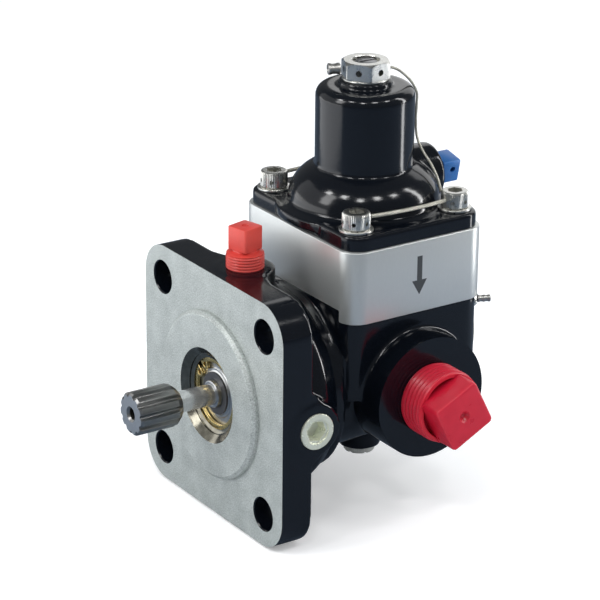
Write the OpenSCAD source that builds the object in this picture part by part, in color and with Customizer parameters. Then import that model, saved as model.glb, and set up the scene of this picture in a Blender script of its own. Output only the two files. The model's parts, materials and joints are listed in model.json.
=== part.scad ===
// Shaft-driven hydraulic pump with a square mounting flange, a splined quill shaft
// and a spring-loaded diaphragm relief valve on top.
// Origin: centre of the flange's mounting face, on the shaft axis.
// +Y runs back from the mounting face, +Z up, +X towards the inlet port.

/* [Mounting flange] */
// Side of the square flange
flange_w = 91.8; // [88:0.2:96]
// Thickness of the flange
flange_t = 12.5; // [11:0.5:14]
// Corner radius of the flange
flange_corner = 13; // [10:1:15]
// Distance between neighbouring mounting holes
hole_pitch = 67.4; // [66:0.1:69]
// Diameter of each mounting hole
hole_d = 12; // [10:0.5:13]
// Diameter of the locating pilot on the mounting face
pilot_d = 62; // [58:0.5:63]
// Height of the pilot above the mounting face
pilot_h = 2.5; // [2:0.25:3]
// Diameter of the open mouth in front of the shaft seal
mouth_d = 34; // [32:0.5:36]
// Diameter of the collar behind the flange
collar_d = 77; // [72:1:78]

/* [Pump body] */
// Width of the upper body between its two flat sides
body_w = 68; // [66:0.5:70]
// Diameter of the round lower body
belly_d = 57; // [55:0.5:60]
// Diameter of the inlet boss
inlet_boss_d = 45.2; // [43:0.2:47]
// Distance from the shaft axis to the inlet boss face
inlet_reach = 44.2; // [42:0.2:46]
// Diameter of the outlet boss
outlet_boss_d = 38; // [34:1:42]
// Distance from the shaft axis to the outlet boss face
outlet_reach = 42; // [40:0.5:44]
// Thickness of the rear cover
rear_cover_t = 5.2; // [4.5:0.1:6]

/* [Gears] */
// Teeth on each pump gear
gear_teeth = 10; // [10:1:10]
// Distance between the two gear axes
gear_centres = 15; // [15:0.5:15]
// Width of each pump gear
gear_w = 20; // [16:1:22]

/* [Quill shaft] */
// Teeth on the drive spline
spline_teeth = 11; // [11:1:12]
// Outside diameter of the drive spline
spline_d = 15.7; // [15:0.1:16.5]
// Length of the splined end
spline_len = 18.2; // [16:0.2:20]
// Distance the spline stands in front of the mounting face
spline_reach = 33.6; // [32:0.2:35]
// Diameter of the polished neck
neck_d = 7.8; // [7:0.1:8]

/* [Relief valve head] */
// Width of the valve block along X
block_w = 70.8; // [69:0.2:72]
// Depth of the valve block along Y
block_d = 59.2; // [58:0.2:60]
// Height of the valve block
block_h = 26.9; // [26:0.1:28]
// Diameter of the dome
dome_d = 55; // [54:0.5:56]
// Diameter of the spring tower
tower_d = 35.6; // [34:0.2:37]
// Height of the tower's shoulder above the shaft axis
tower_top = 104.8; // [102:0.2:107]
// Width across the flats of the hex cap
cap_af = 15.9; // [15:0.1:17]
// Height of the hex cap
cap_h = 6.2; // [6:0.1:7]
// Lift of the relief valve
relief_lift = 3; // [2:0.5:3]
// Turns of the adjusting screw between its stops
adjust_turns = 4; // [2:1:4]
// Pitch of the adjusting screw
adjust_pitch = 1.25; // [1:0.25:1.25]

/* [Hidden] */
$fn = 72;

fit = 0.1;                                // clearance all round between fixed pieces
run = 0.05;                               // radial clearance of a running fit

// Mounting flange and seal bore
flange_half = flange_w / 2;
mouth_floor = 0.4;                        // the mouth ends here and the seal bore begins
seal_bore_r = 13.2;
seal_lip_r = 9;                           // raised lip of the seal case, inside the ring's lugs
seal_floor = 14;
quill_hole_r = 8;
collar_end = 24;
collar_tip = 30;
collar_tip_r = 35;
port_y = 13.8;                            // drain and side ports stand on this line
drain_boss_r = 10.7;
drain_face = flange_half + 0.3;
drain_port_r = 5.6;
side_boss_r = 10;
side_face = flange_half + 0.6;
side_z = -0.3;
side_port_r = 5.6;
side_recess_r = 6.8;
side_recess = 3;
drain_web = [[-22, 12.3], [-18, 13.2], [-14, 14.5], [-10.5, 17.2], [-7.6, 21.3], [0, 13.8]];
drain_web_low = 30;                       // webs that carry the port bosses into the flange
side_web = [[12.3, -15], [14.6, -12.2], [17.6, -9.4], [20.8, -7.4], [13.8, -0.3], [12.3, -0.3]];
side_web_end = 30;
weep_r = 2;                               // passages from the seal bore to both ports
weep_y = 10;
weep_end = 21;

// Pump body
valve_y = 64.2;                           // ports, valve head and gears share this line
block_front = valve_y - block_d / 2;
block_back = valve_y + block_d / 2;
body_front = block_front - 0.2;
body_back = block_back - rear_cover_t;
body_top = 29.3;
gasket_t = 0.4;
block_bottom = body_top + gasket_t;
block_top = block_bottom + block_h;
belly_r = belly_d / 2;
body_corner = 7;
inlet_port_r = 12.6;
inlet_port_end = 26;
outlet_port_r = 9.8;
outlet_port_end = 27;
gallery_r = 4.4;                          // passages between the ports and the gears
riser_x = 14;                             // risers from the galleries to the valve block
riser_r = 2.8;
gear_r = gear_centres / 2;                // pitch radius
gear_tip = gear_r + 1.5;
gear_root = gear_r - 1.8;
pocket_r = gear_tip + fit;
pocket_front = 42;
journal_r = 5.5;
bush_r = 7;
gear_front = valve_y - gear_w / 2;
gear_back = valve_y + gear_w / 2;
gap = 0.15;                               // end float beside the gears
bolts = [[-20.5, 24], [20.5, 24], [-15.5, -16.5], [15.5, -16.5]];
bolt_r = 2.4;
bolt_hole_r = 2.6;
bolt_head_r = 4.2;
bolt_head = 4.8;
bolt_washer = 0.8;
bolt_front = 18;
dowels = [[-29, 6], [26.5, -6]];
dowel_r = 1.5;

// Quill shaft
spline_front = -spline_reach;
spline_back = spline_front + spline_len;
quill_end_r = 3.1;
quill_end = 78;
quill_step = 36;

// Valve head
seat_bottom = block_bottom + 3.3;
seat_top = seat_bottom + 5;
chamber_floor = 52;
chamber_r = 24;
stem_chamber_r = 12;
stem_r = 2.5;
stem_top = 64.5;
valve_top = seat_top + 5;                 // top of the valve's cone when it is shut
guide_bottom = valve_top + relief_lift;
guide_top = guide_bottom + 3;
diaphragm_t = 1;
diaphragm_r = 26.5;
lower_plate_t = 1.5;
upper_plate_t = 2;
spring_foot = block_top + diaphragm_t + upper_plate_t;
cover_top = 62;
dome_top = 76;
dome_edge = 14;
tower_r = tower_d / 2;
tower_edge = 5;
tower_bore_r = 13.5;
collar_ring_r = 9.6;
cap_bottom = tower_top + 2.2;
cap_washer_t = 0.8;
cap_face = cap_bottom + cap_washer_t;
cap_top = cap_face + cap_h;
cap_shank_r = 7;
cap_shank = 98;
cap_recess_r = 4.9;
cap_recess = 1.6;
adjust_r = 3;
adjust_head_r = 3.9;
adjust_collar_t = 1.5;
adjust_collar = cap_shank - fit - adjust_collar_t;
seat_plate_t = 3.2;
seat_plate = adjust_collar - 0.2 - seat_plate_t;
seat_travel = adjust_turns * adjust_pitch;
adjust_end = seat_plate - seat_travel - 4;
vent_z = 67.5;
vent_boss_r = 10.5;
vent_end = 93.3;
vent_port_r = 4.9;
screw_x = 26.3;
screw_y = 21.3;
cover_screws_at = [for (x = [-1, 1]) for (y = [-1, 1]) [x * screw_x, valve_y + y * screw_y]];
screw_head_r = 5.05;
screw_head = 6;
washer_t = 1;
screw_end = 20.6;

// Safety cables, each along points chosen by hand
cable_r = 0.75;
front_route = [[27.8, 48.2, 66.6], [28.3, 52, 66.6], [28.7, 58, 66.5], [28.8, 64.2, 66.4],
  [28.7, 70.4, 66.4], [28.3, 76.4, 66.4], [27.8, 80.2, 66.4]];
rear_route = [[-27.8, 48.2, 66.6], [-28.3, 52, 66.6], [-28.7, 58, 66.5], [-28.8, 64.2, 66.4],
  [-28.7, 70.4, 66.4], [-28.3, 76.4, 66.4], [-27.8, 80.2, 66.4]];
cap_route = [[3.3, 72.4, 110.7], [5, 74.4, 109.9], [6.4, 76.7, 107.9], [7.5, 79.2, 104.8],
  [7.6, 81.3, 100.6], [7.3, 81.5, 96], [7, 81.6, 90], [7.6, 81.8, 84.4], [10.4, 82.3, 79.8],
  [14.8, 82.9, 76], [18.4, 83.4, 71.6], [20.2, 83.8, 67]];
bolt_route = [[17.5, 97.5, -12], [18.5, 98, -8], [21.5, 98.4, 2], [22.5, 98.4, 12],
  [21.8, 97.6, 19.4]];
ferrule_r = 1.35;

function unit(v) = v / norm(v);

// One point between p1 and p2 on a smooth curve through p0, p1, p2 and p3
function curve_point(p0, p1, p2, p3, t) =
  0.5 * (2 * p1 + (p2 - p0) * t + (2 * p0 - 5 * p1 + 4 * p2 - p3) * t * t
    + (3 * p1 - p0 - 3 * p2 + p3) * t * t * t);

function smooth_route(route, steps) = let (last = len(route) - 1) concat(
  [for (i = [0 : last - 1]) for (s = [0 : steps - 1])
    curve_point(route[max(i - 1, 0)], route[i], route[i + 1], route[min(i + 2, last)], s / steps)],
  [route[last]]);

// Solid tube of radius r along a list of points
module tube(path, r, sides = 8) {
  last = len(path) - 1;
  lead = [for (i = [0 : last]) unit(path[min(i + 1, last)] - path[max(i - 1, 0)])];
  out = [for (t = lead) unit(cross(t, [0.31, 0.52, 0.13]))];
  side = [for (i = [0 : last]) cross(lead[i], out[i])];
  points = [for (i = [0 : last]) for (k = [0 : sides - 1])
    path[i] + r * (cos(k * 360 / sides) * out[i] + sin(k * 360 / sides) * side[i])];
  walls = [for (i = [0 : last - 1]) for (k = [0 : sides - 1])
    let (n = (k + 1) % sides, here = i * sides, next = here + sides)
    for (f = [[here + k, here + n, next + n], [here + k, next + n, next + k]]) f];
  first_cap = [for (k = [0 : sides - 1]) sides - 1 - k];
  last_cap = [for (k = [0 : sides - 1]) last * sides + k];
  polyhedron(points = points, faces = [for (f = concat(walls, [first_cap], [last_cap]))
    [for (i = [len(f) - 1 : -1 : 0]) f[i]]]);
}

// Coil spring standing on z0, with its wire inside z0 to z1
module coil(mean_r, wire_r, z0, z1, turns, steps = 12) {
  rise = z1 - z0 - 2 * wire_r;
  count = turns * steps;
  tube([for (i = [0 : count])
    [mean_r * cos(i * 360 / steps), mean_r * sin(i * 360 / steps), z0 + wire_r + rise * i / count]],
    wire_r);
}

// Cylinders along each axis, between two stations
module along_x(r, x0, x1, y = 0, z = 0) {
  translate([x0, y, z]) rotate([0, 90, 0]) cylinder(r = r, h = x1 - x0);
}

module along_y(r, y0, y1, x = 0, z = 0) {
  translate([x, y0, z]) rotate([-90, 0, 0]) cylinder(r = r, h = y1 - y0);
}

module along_z(r, z0, z1, x = 0, y = 0) {
  translate([x, y, z0]) cylinder(r = r, h = z1 - z0);
}

module cone_y(r0, r1, y0, y1) {
  translate([0, y0, 0]) rotate([-90, 0, 0]) cylinder(r1 = r0, r2 = r1, h = y1 - y0);
}

module rounded_square(w, d, r) {
  square([w - 2 * r, d], center = true);
  square([w, d - 2 * r], center = true);
  for (x = [-1, 1]) for (y = [-1, 1]) translate([x * (w / 2 - r), y * (d / 2 - r)]) circle(r = r);
}

// Upright bar with rounded vertical edges, centred on the valve line
module upright(w, d, r, z0, z1) {
  translate([0, valve_y, z0]) linear_extrude(z1 - z0) rounded_square(w, d, r);
}

// Hexagonal or square bar from z = 0 up
module hex_bar(af, h) {
  cylinder(r = af / 2 / cos(30), h = h, $fn = 6);
}

module square_bar(af, h) {
  translate([-af / 2, -af / 2, 0]) cube([af, af, h]);
}

// Ring between two radii from z = 0 up
module ring(r_out, r_in, h) {
  difference() {
    cylinder(r = r_out, h = h);
    translate([0, 0, -1]) cylinder(r = r_in, h = h + 2);
  }
}

// Socket head cap screw: head from z = 0 up, shank down, wire holes drilled into the head
module cap_screw(head_r, head_h, shank_r, shank, af, wire_holes = 6, wire_r = 0.8) {
  difference() {
    union() {
      cylinder(r = head_r, h = head_h - 0.5);
      translate([0, 0, head_h - 0.5]) cylinder(r1 = head_r, r2 = head_r - 0.5, h = 0.5);
      translate([0, 0, -shank]) cylinder(r = shank_r, h = shank + 0.1);
    }
    translate([0, 0, head_h * 0.45]) hex_bar(af, head_h);
    for (i = [0 : wire_holes - 1]) rotate(i * 360 / wire_holes + 15)
      translate([head_r - 1.6, 0, head_h * 0.4]) rotate([0, 90, 0])
        cylinder(r = wire_r, h = 3);
  }
}

// Moulded closing plug standing on z = 0: ribbed thread, collar and square head
module closing_plug(thread_r, collar_h, head_af, head_h, standing) {
  groove = 0.55;
  pitch = 1.9;
  cylinder(r = thread_r - groove, h = standing);
  for (z = [0.2 : pitch : standing - 1.1]) translate([0, 0, z])
    cylinder(r = thread_r, h = pitch * 0.55);
  translate([0, 0, standing]) cylinder(r = thread_r - 0.9, h = collar_h);
  translate([0, 0, standing + collar_h]) square_bar(head_af, head_h);
}

// Figure-of-eight shape shared by the gear pocket and the bearing blocks
module gear_pair(r, y0, y1) {
  along_y(r, y0, y1);
  along_y(r, y0, y1, 0, gear_centres);
}

module port_gallery(dir, port_r, port_end, reach) {
  mirror([dir < 0 ? 1 : 0, 0, 0]) {
    along_x(port_r, port_end, reach + 1, valve_y, 0);
    along_x(gallery_r, 4, port_end + 1, valve_y, gear_centres / 2);
    along_z(riser_r, gear_centres / 2, body_top + 1, riser_x, valve_y);
  }
}

module body_outline(y0, y1, trim = 0) {
  along_y(belly_r - trim, y0, y1);
  intersection() {
    body_bar();
    translate([-body_w / 2 + trim, y0, 0]) cube([body_w - 2 * trim, y1 - y0, body_top - trim]);
  }
}

// Upper half of the body and its rear cover, with rounded upright edges
module body_bar() {
  translate([0, (body_front + block_back) / 2, 0]) linear_extrude(body_top)
    rounded_square(body_w, block_back - body_front, body_corner);
}

// ---- castings ----

module mounting_flange() {
  color([0.16, 0.17, 0.19]) difference() {
    union() {
      rotate([-90, 0, 0]) linear_extrude(flange_t)
        rounded_square(flange_w, flange_w, flange_corner);
      along_y(pilot_d / 2 - 0.6, -pilot_h, 0.1);
      along_y(pilot_d / 2, -pilot_h + 0.6, 0.1);
      along_y(collar_d / 2, flange_t - 0.1, collar_end);
      cone_y(collar_d / 2, collar_tip_r, collar_end, collar_tip);
      along_z(drain_boss_r, 0, drain_face, 0, port_y);
      along_x(side_boss_r, 0, side_face, port_y, side_z);
      for (side = [0, 1]) mirror([side, 0, 0]) translate([0, 0, drain_web_low])
        linear_extrude(flange_half - drain_web_low) polygon(drain_web);
      for (side = [0, 1]) mirror([0, 0, side]) translate([side_web_end, 0, 0])
        rotate([90, 0, 90]) linear_extrude(flange_half - side_web_end) polygon(side_web);
    }
    for (x = [-1, 1]) for (z = [-1, 1])
      along_y(hole_d / 2, -1, flange_t + 1, x * hole_pitch / 2, z * hole_pitch / 2);
    along_y(mouth_d / 2, -pilot_h - 1, mouth_floor);
    along_y(seal_bore_r, mouth_floor - 1, seal_floor);
    along_y(seal_bore_r + 0.9, 0.9, 2.2);
    along_y(quill_hole_r, seal_floor - 1, collar_tip + 1);
    along_z(drain_port_r, weep_end, drain_face + 1, 0, port_y);
    along_z(weep_r, 0, weep_end + 1, 0, weep_y);
    along_x(side_port_r, weep_end, side_face + 1, port_y, side_z);
    along_x(weep_r, 0, weep_end + 1, weep_y, side_z);
    along_x(side_recess_r, side_face - side_recess, side_face + 1, port_y, side_z);
    for (b = bolts) along_y(bolt_r + 0.05, bolt_front - 1, collar_tip + 1, b[0], b[1]);
  }
}

module pump_body() {
  color([0.1, 0.1, 0.12]) difference() {
    union() {
      along_y(collar_tip_r - 0.8, collar_tip, body_front);
      along_y(belly_r, body_front - 0.1, body_back);
      intersection() {
        body_bar();
        translate([-body_w / 2, body_front, 0]) cube([body_w, body_back - body_front, body_top]);
      }
      along_x(inlet_boss_d / 2, 0, inlet_reach - 0.8, valve_y, 0);
      along_x(inlet_boss_d / 2 - 0.8, 0, inlet_reach, valve_y, 0);
      along_x(outlet_boss_d / 2, -outlet_reach + 0.8, 0, valve_y, 0);
      along_x(outlet_boss_d / 2 - 0.8, -outlet_reach, 0, valve_y, 0);
      along_z(8, -30.8, -10, 0, valve_y);
    }
    along_y(quill_hole_r, collar_tip - 1, pocket_front + 1);
    gear_pair(pocket_r, pocket_front, body_back + 1);
    port_gallery(1, inlet_port_r, inlet_port_end, inlet_reach);
    port_gallery(-1, outlet_port_r, outlet_port_end, outlet_reach);
    for (b = bolts) along_y(bolt_hole_r, collar_tip - 1, body_back + 1, b[0], b[1]);
    for (d = dowels) along_y(dowel_r + 0.03, body_back - 8, body_back + 1, d[0], d[1]);
    for (s = cover_screws_at) along_z(3.05, 20, body_top + 1, s[0], s[1]);
    along_z(3.05, -40, -14, 0, valve_y);
    rotate([-90, 0, 0]) translate([0, 0, collar_tip]) ring(14.1, 11.9, 1.3);
  }
}

module body_seal() {
  color([0.05, 0.05, 0.05]) translate([0, collar_tip + 0.05, 0]) rotate([-90, 0, 0])
    ring(14, 12, 1.2);
}

module rear_cover() {
  color([0.1, 0.1, 0.12]) difference() {
    union() {
      body_outline(body_back, block_back - 0.8, 0.4);
      body_outline(block_back - 0.9, block_back, 1.2);
    }
    for (b = bolts) along_y(bolt_hole_r, body_back - 1, block_back + 1, b[0], b[1]);
    for (d = dowels) along_y(dowel_r + 0.03, body_back - 1, body_back + 3, d[0], d[1]);
    rear_seal_groove();
  }
}

module rear_seal_groove() {
  translate([0, body_back - 0.01, 0]) rotate([-90, 0, 0]) difference() {
    union() {
      cylinder(r = 12.1, h = 1.31);
      translate([0, -gear_centres, 0]) cylinder(r = 12.1, h = 1.31);
    }
    translate([0, 0, -1]) cylinder(r = 10.5, h = 4);
    translate([0, -gear_centres, -1]) cylinder(r = 10.5, h = 4);
  }
}

module rear_cover_seal() {
  color([0.05, 0.05, 0.05]) translate([0, body_back + 0.05, 0]) rotate([-90, 0, 0])
    difference() {
      union() {
        cylinder(r = 12, h = 1.2);
        translate([0, -gear_centres, 0]) cylinder(r = 12, h = 1.2);
      }
      translate([0, 0, -1]) cylinder(r = 10.6, h = 4);
      translate([0, -gear_centres, -1]) cylinder(r = 10.6, h = 4);
    }
}

module valve_block() {
  color([0.86, 0.87, 0.87]) difference() {
    upright(block_w, block_d, 7.5, block_bottom, block_top);
    along_z(7, block_bottom - 1, seat_bottom + 1, 0, valve_y);
    along_z(10, seat_bottom, seat_top, 0, valve_y);
    along_z(stem_chamber_r, seat_top - 0.1, chamber_floor + 1, 0, valve_y);
    along_z(chamber_r, chamber_floor, block_top + 1, 0, valve_y);
    translate([-riser_x - 3, valve_y - 3, block_bottom - 1])
      cube([riser_x + 3, 6, seat_bottom - block_bottom]);
    translate([11.1, valve_y - 3, block_bottom - 1]) cube([6, 6, 15]);
    for (s = cover_screws_at) along_z(3.3, block_bottom - 1, block_top + 1, s[0], s[1]);
  }
}

module valve_cover() {
  color([0.08, 0.08, 0.1]) difference() {
    union() {
      upright(block_w - 2, block_d - 2, 7.5, block_top, cover_top - 1.2);
      upright(block_w - 3, block_d - 3, 7, cover_top - 1.3, cover_top - 0.4);
      upright(block_w - 4.4, block_d - 4.4, 6.3, cover_top - 0.5, cover_top);
      translate([0, valve_y, cover_top - 1]) rotate_extrude() dome_profile();
      translate([0, valve_y, 0]) rotate_extrude() tower_profile();
      along_y(vent_boss_r - 0.8, valve_y, vent_end, 0, vent_z);
      along_y(vent_boss_r, valve_y, vent_end - 0.8, 0, vent_z);
    }
    along_z(diaphragm_r + fit, block_top - 1, block_top + diaphragm_t, 0, valve_y);
    along_z(22, block_top, 70, 0, valve_y);
    along_z(tower_bore_r, 69, cap_shank, 0, valve_y);
    along_z(cap_shank_r + 0.05, cap_shank - 1, cap_bottom + 1, 0, valve_y);
    along_y(2, valve_y, vent_end, 0, vent_z);
    along_y(vent_port_r, vent_end - 9, vent_end + 1, 0, vent_z);
    for (s = cover_screws_at) {
      along_z(3.3, block_top - 1, cover_top + 9, s[0], s[1]);
      along_z(6.3, cover_top, cover_top + 12, s[0], s[1]);
    }
  }
}

module dome_profile() {
  r = dome_d / 2;
  h = dome_top - cover_top + 1;
  square([r - dome_edge, h]);
  square([r, h - dome_edge]);
  intersection() {
    translate([r - dome_edge, h - dome_edge]) circle(r = dome_edge);
    square([r, h]);
  }
}

module tower_profile() {
  foot = cover_top - 1;
  translate([0, foot]) square([tower_r, tower_top - tower_edge - foot]);
  translate([0, foot]) square([tower_r - tower_edge, tower_top - foot]);
  translate([tower_r - tower_edge, tower_top - tower_edge]) circle(r = tower_edge);
  translate([0, foot]) square([collar_ring_r, cap_bottom - 0.8 - foot]);
  translate([0, foot]) square([collar_ring_r - 0.8, cap_bottom - foot]);
}

// ---- rear fasteners and locating pins ----

module through_bolts() {
  color([0.6, 0.61, 0.62]) for (b = bolts)
    translate([b[0], block_back + bolt_washer, b[1]]) rotate([-90, 0, 0])
      cap_screw(bolt_head_r, bolt_head, bolt_r, block_back + bolt_washer - bolt_front, 4);
}

module bolt_washers() {
  color([0.7, 0.7, 0.7]) for (b = bolts)
    translate([b[0], block_back, b[1]]) rotate([-90, 0, 0])
      ring(bolt_head_r + 0.7, bolt_r + 0.1, bolt_washer);
}

module dowel_pins() {
  color([0.6, 0.6, 0.6]) for (d = dowels)
    along_y(dowel_r, body_back - 7.5, body_back + 2.5, d[0], d[1]);
}

// ---- pumping gears and bearings ----

module bearing_block(y0, y1) {
  difference() {
    gear_pair(gear_tip, y0, y1);
    gear_pair(bush_r + run, y0 - 1, y1 + 1);
  }
}

module front_bearing_block() {
  color([0.7, 0.6, 0.35]) bearing_block(pocket_front + 0.05, gear_front - gap);
}

module rear_bearing_block() {
  color([0.7, 0.6, 0.35]) bearing_block(gear_back + gap, body_back - 0.05);
}

module bearing_bushes() {
  color([0.6, 0.45, 0.25]) for (z = [0, gear_centres]) {
    translate([0, pocket_front + 0.3, z]) rotate([-90, 0, 0])
      ring(bush_r, journal_r + run, gear_front - gap - pocket_front - 0.6);
    translate([0, gear_back + gap + 0.3, z]) rotate([-90, 0, 0])
      ring(bush_r, journal_r + run, body_back - gear_back - gap - 0.6);
  }
}

// One tooth, from inside the root circle to the tip
module gear_tooth() {
  polygon([[gear_root - 0.4, -1.5], [gear_r, -0.97], [gear_tip - 0.05, -0.33],
    [gear_tip - 0.05, 0.33], [gear_r, 0.97], [gear_root - 0.4, 1.5]]);
}

module gear_shape(turn) {
  circle(r = gear_root);
  for (i = [0 : gear_teeth - 1]) rotate(turn + i * 360 / gear_teeth) gear_tooth();
}

module gear_with_journals(turn) {
  translate([0, gear_front, 0]) rotate([-90, 0, 0]) linear_extrude(gear_w) gear_shape(turn);
  along_y(journal_r, pocket_front + 0.4, body_back - 0.4);
}

module drive_gear() {
  color([0.5, 0.5, 0.52]) difference() {
    gear_with_journals(-90);
    along_y(quill_end_r + run, pocket_front - 1, quill_end + 1);
  }
}

module driven_gear() {
  color([0.5, 0.5, 0.52]) translate([0, 0, gear_centres]) gear_with_journals(90 + 180 / gear_teeth);
}

// ---- quill shaft and shaft seal ----

module spline_shape() {
  root = spline_d / 2 - 1.15;
  tip = spline_d / 2;
  circle(r = root);
  for (i = [0 : spline_teeth - 1]) rotate(i * 360 / spline_teeth + 8)
    polygon([[root - 0.4, -1.45], [tip, -0.95], [tip, 0.95], [root - 0.4, 1.45]]);
}

module quill_shaft() {
  color([0.42, 0.43, 0.44]) difference() {
    union() {
      intersection() {
        translate([0, spline_front, 0]) rotate([-90, 0, 0]) linear_extrude(spline_len)
          spline_shape();
        union() {
          cone_y(spline_d / 2 - 0.6, spline_d / 2 + 0.2, spline_front, spline_front + 0.8);
          along_y(spline_d / 2 + 0.2, spline_front + 0.8, spline_back - 2.4);
          cone_y(spline_d / 2 + 0.2, spline_d / 2 - 2, spline_back - 2.4, spline_back);
        }
      }
      along_y(neck_d / 2, spline_back - 0.1, quill_step);
      along_y(quill_end_r, quill_step - 0.1, quill_end);
    }
    along_y(2.2, spline_front - 1, spline_front + 9);
    quill_groove();
  }
}

module quill_groove() {
  translate([0, 31, 0]) rotate([-90, 0, 0]) ring(5, neck_d / 2 - 0.4, 1);
}

module quill_stop_ring() {
  color([0.5, 0.5, 0.5]) translate([0, 31.05, 0]) rotate([-90, 0, 0])
    ring(neck_d / 2 + 1.6, neck_d / 2 - 0.35, 0.9);
}

module seal_case() {
  color([0.62, 0.63, 0.64]) difference() {
    union() {
      along_y(seal_bore_r - fit, 2.3, 12.5);
      along_y(seal_lip_r, 1.5, 2.5);
    }
    along_y(9.8, 3.3, 13);
    along_y(8, 1, 4);
  }
}

module seal_face() {
  color([0.35, 0.35, 0.36]) translate([0, 1.1, 0]) rotate([-90, 0, 0])
    ring(7.8, neck_d / 2 + 1.3, 4);
}

module seal_spring() {
  color([0.7, 0.7, 0.7]) translate([0, 5.3, 0]) rotate([-90, 0, 0]) ring(9.5, 7.2, 1.2);
}

module seal_collar() {
  color([0.75, 0.75, 0.76]) difference() {
    union() {
      along_y(neck_d / 2 + 1.1, -0.6, 5);
      along_y(neck_d / 2 + 2.4, 7, 9.5);
      along_y(neck_d / 2 + 1.1, 4.9, 7.1);
    }
    along_y(neck_d / 2 + 0.02, -2, 11);
  }
}

// Outline of the retaining ring, open between its two lugs
module ring_outline() {
  lug_turn = 219;
  difference() {
    union() {
      difference() {
        circle(r = seal_bore_r + 0.8);
        circle(r = 11.6);
      }
      for (side = [-1, 1]) rotate(lug_turn + side * 14) translate([11.4, 0]) circle(r = 2.1);
    }
    rotate(lug_turn) translate([8, -1.1]) square([8, 2.2]);
    for (side = [-1, 1]) rotate(lug_turn + side * 14) translate([11.2, 0]) circle(r = 0.85);
  }
}

module retaining_ring() {
  color([0.8, 0.68, 0.3]) translate([0, 0.95, 0]) rotate([-90, 0, 0]) linear_extrude(1.2)
    ring_outline();
}

// ---- plugs ----

module drain_plug() {
  color([0.85, 0.16, 0.16]) translate([0, port_y, drain_face]) rotate(14) {
    closing_plug(7, 1.3, 8.9, 8.6, 5.2);
    translate([0, 0, -9]) cylinder(r = drain_port_r - 0.3, h = 9.1);
  }
}

module inlet_plug() {
  color([0.85, 0.1, 0.2]) translate([inlet_reach, valve_y, 0]) rotate([27, 0, 0])
    rotate([0, 90, 0]) {
      closing_plug(13.4, 1.2, 18.8, 7.7, 11.4);
      translate([0, 0, -12]) cylinder(r = inlet_port_r - 0.3, h = 12.1);
    }
}

module outlet_plug() {
  color([0.85, 0.1, 0.2]) translate([-outlet_reach, valve_y, 0]) rotate([0, -90, 0]) {
    closing_plug(10.6, 1.2, 14, 7, 9.5);
    translate([0, 0, -10]) cylinder(r = outlet_port_r - 0.3, h = 10.1);
  }
}

module vent_plug() {
  color([0.12, 0.4, 0.72]) difference() {
    translate([0, vent_end, vent_z]) rotate([-90, 0, 0]) {
      translate([0, 0, -7]) cylinder(r = vent_port_r - 0.2, h = 7.1);
      cylinder(r = 5, h = 3);
      rotate(12) translate([0, 0, 3]) square_bar(8.9, 7.4);
    }
    translate([0, vent_end + 6.8, vent_z]) rotate([0, 12, 0]) translate([-8, 0, 0])
      rotate([0, 90, 0]) cylinder(r = 1.1, h = 16);
  }
}

module side_plug() {
  color([0.72, 0.73, 0.7]) translate([side_face, port_y, side_z]) rotate([0, 90, 0]) difference() {
    union() {
      translate([0, 0, -1.4]) cylinder(r = 6.6, h = 2);
      translate([0, 0, -14]) cylinder(r = side_port_r - 0.1, h = 13);
    }
    translate([0, 0, -5]) rotate(20) hex_bar(7, 8);
    translate([0, 0, -0.2]) cylinder(r = 4.5, h = 2);
  }
}

module side_plug_seal() {
  color([0.05, 0.05, 0.05]) translate([side_face - 2.8, port_y, side_z]) rotate([0, 90, 0])
    ring(6.6, side_port_r + 0.1, 1.3);
}

module lock_screw() {
  color([0.66, 0.66, 0.67]) translate([0, valve_y, -30.9]) rotate([180, 0, 0])
    cap_screw(5.9, 6, 2.95, 14, 6, 6, 0.95);
}

// ---- valve parts ----

module block_gasket() {
  color([0.2, 0.2, 0.2]) difference() {
    translate([0, (body_front + body_back) / 2, body_top]) linear_extrude(gasket_t)
      rounded_square(body_w - 0.6, body_back - body_front - 0.6, body_corner);
    for (s = cover_screws_at) along_z(3.4, body_top - 1, block_bottom + 1, s[0], s[1]);
    along_z(7.2, body_top - 1, block_bottom + 1, 0, valve_y);
    for (x = [-riser_x, riser_x]) along_z(3.2, body_top - 1, block_bottom + 1, x, valve_y);
  }
}

module valve_seat() {
  color([0.75, 0.7, 0.5]) difference() {
    along_z(9.95, seat_bottom, seat_top - 0.2, 0, valve_y);
    along_z(5.5, seat_bottom - 1, seat_top + 1, 0, valve_y);
  }
}

module relief_valve() {
  color([0.7, 0.7, 0.72]) {
    along_z(7, seat_top - 0.15, seat_top + 2.4, 0, valve_y);
    translate([0, valve_y, seat_top + 2.3]) cylinder(r1 = 5.5, r2 = stem_r, h = 2.5);
    along_z(stem_r, seat_top, stem_top, 0, valve_y);
  }
}

module valve_guide() {
  color([0.7, 0.65, 0.45]) difference() {
    along_z(stem_chamber_r - 0.05, guide_bottom, guide_top, 0, valve_y);
    along_z(stem_r + run, guide_bottom - 1, guide_top + 1, 0, valve_y);
    translate([0, valve_y, 0]) for (i = [0 : 5]) rotate(i * 60)
      along_z(2, guide_bottom - 1, guide_top + 1, 7.2, 0);
  }
}

module diaphragm() {
  color([0.1, 0.1, 0.1]) difference() {
    along_z(diaphragm_r, block_top, block_top + diaphragm_t, 0, valve_y);
    along_z(stem_r + fit, block_top - 1, block_top + 2, 0, valve_y);
  }
}

module lower_plate() {
  color([0.7, 0.7, 0.72]) translate([0, valve_y, block_top - lower_plate_t])
    ring(15, stem_r + fit, lower_plate_t);
}

module upper_plate() {
  color([0.7, 0.7, 0.72]) translate([0, valve_y, block_top + diaphragm_t])
    ring(14, stem_r + fit, upper_plate_t);
}

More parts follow.
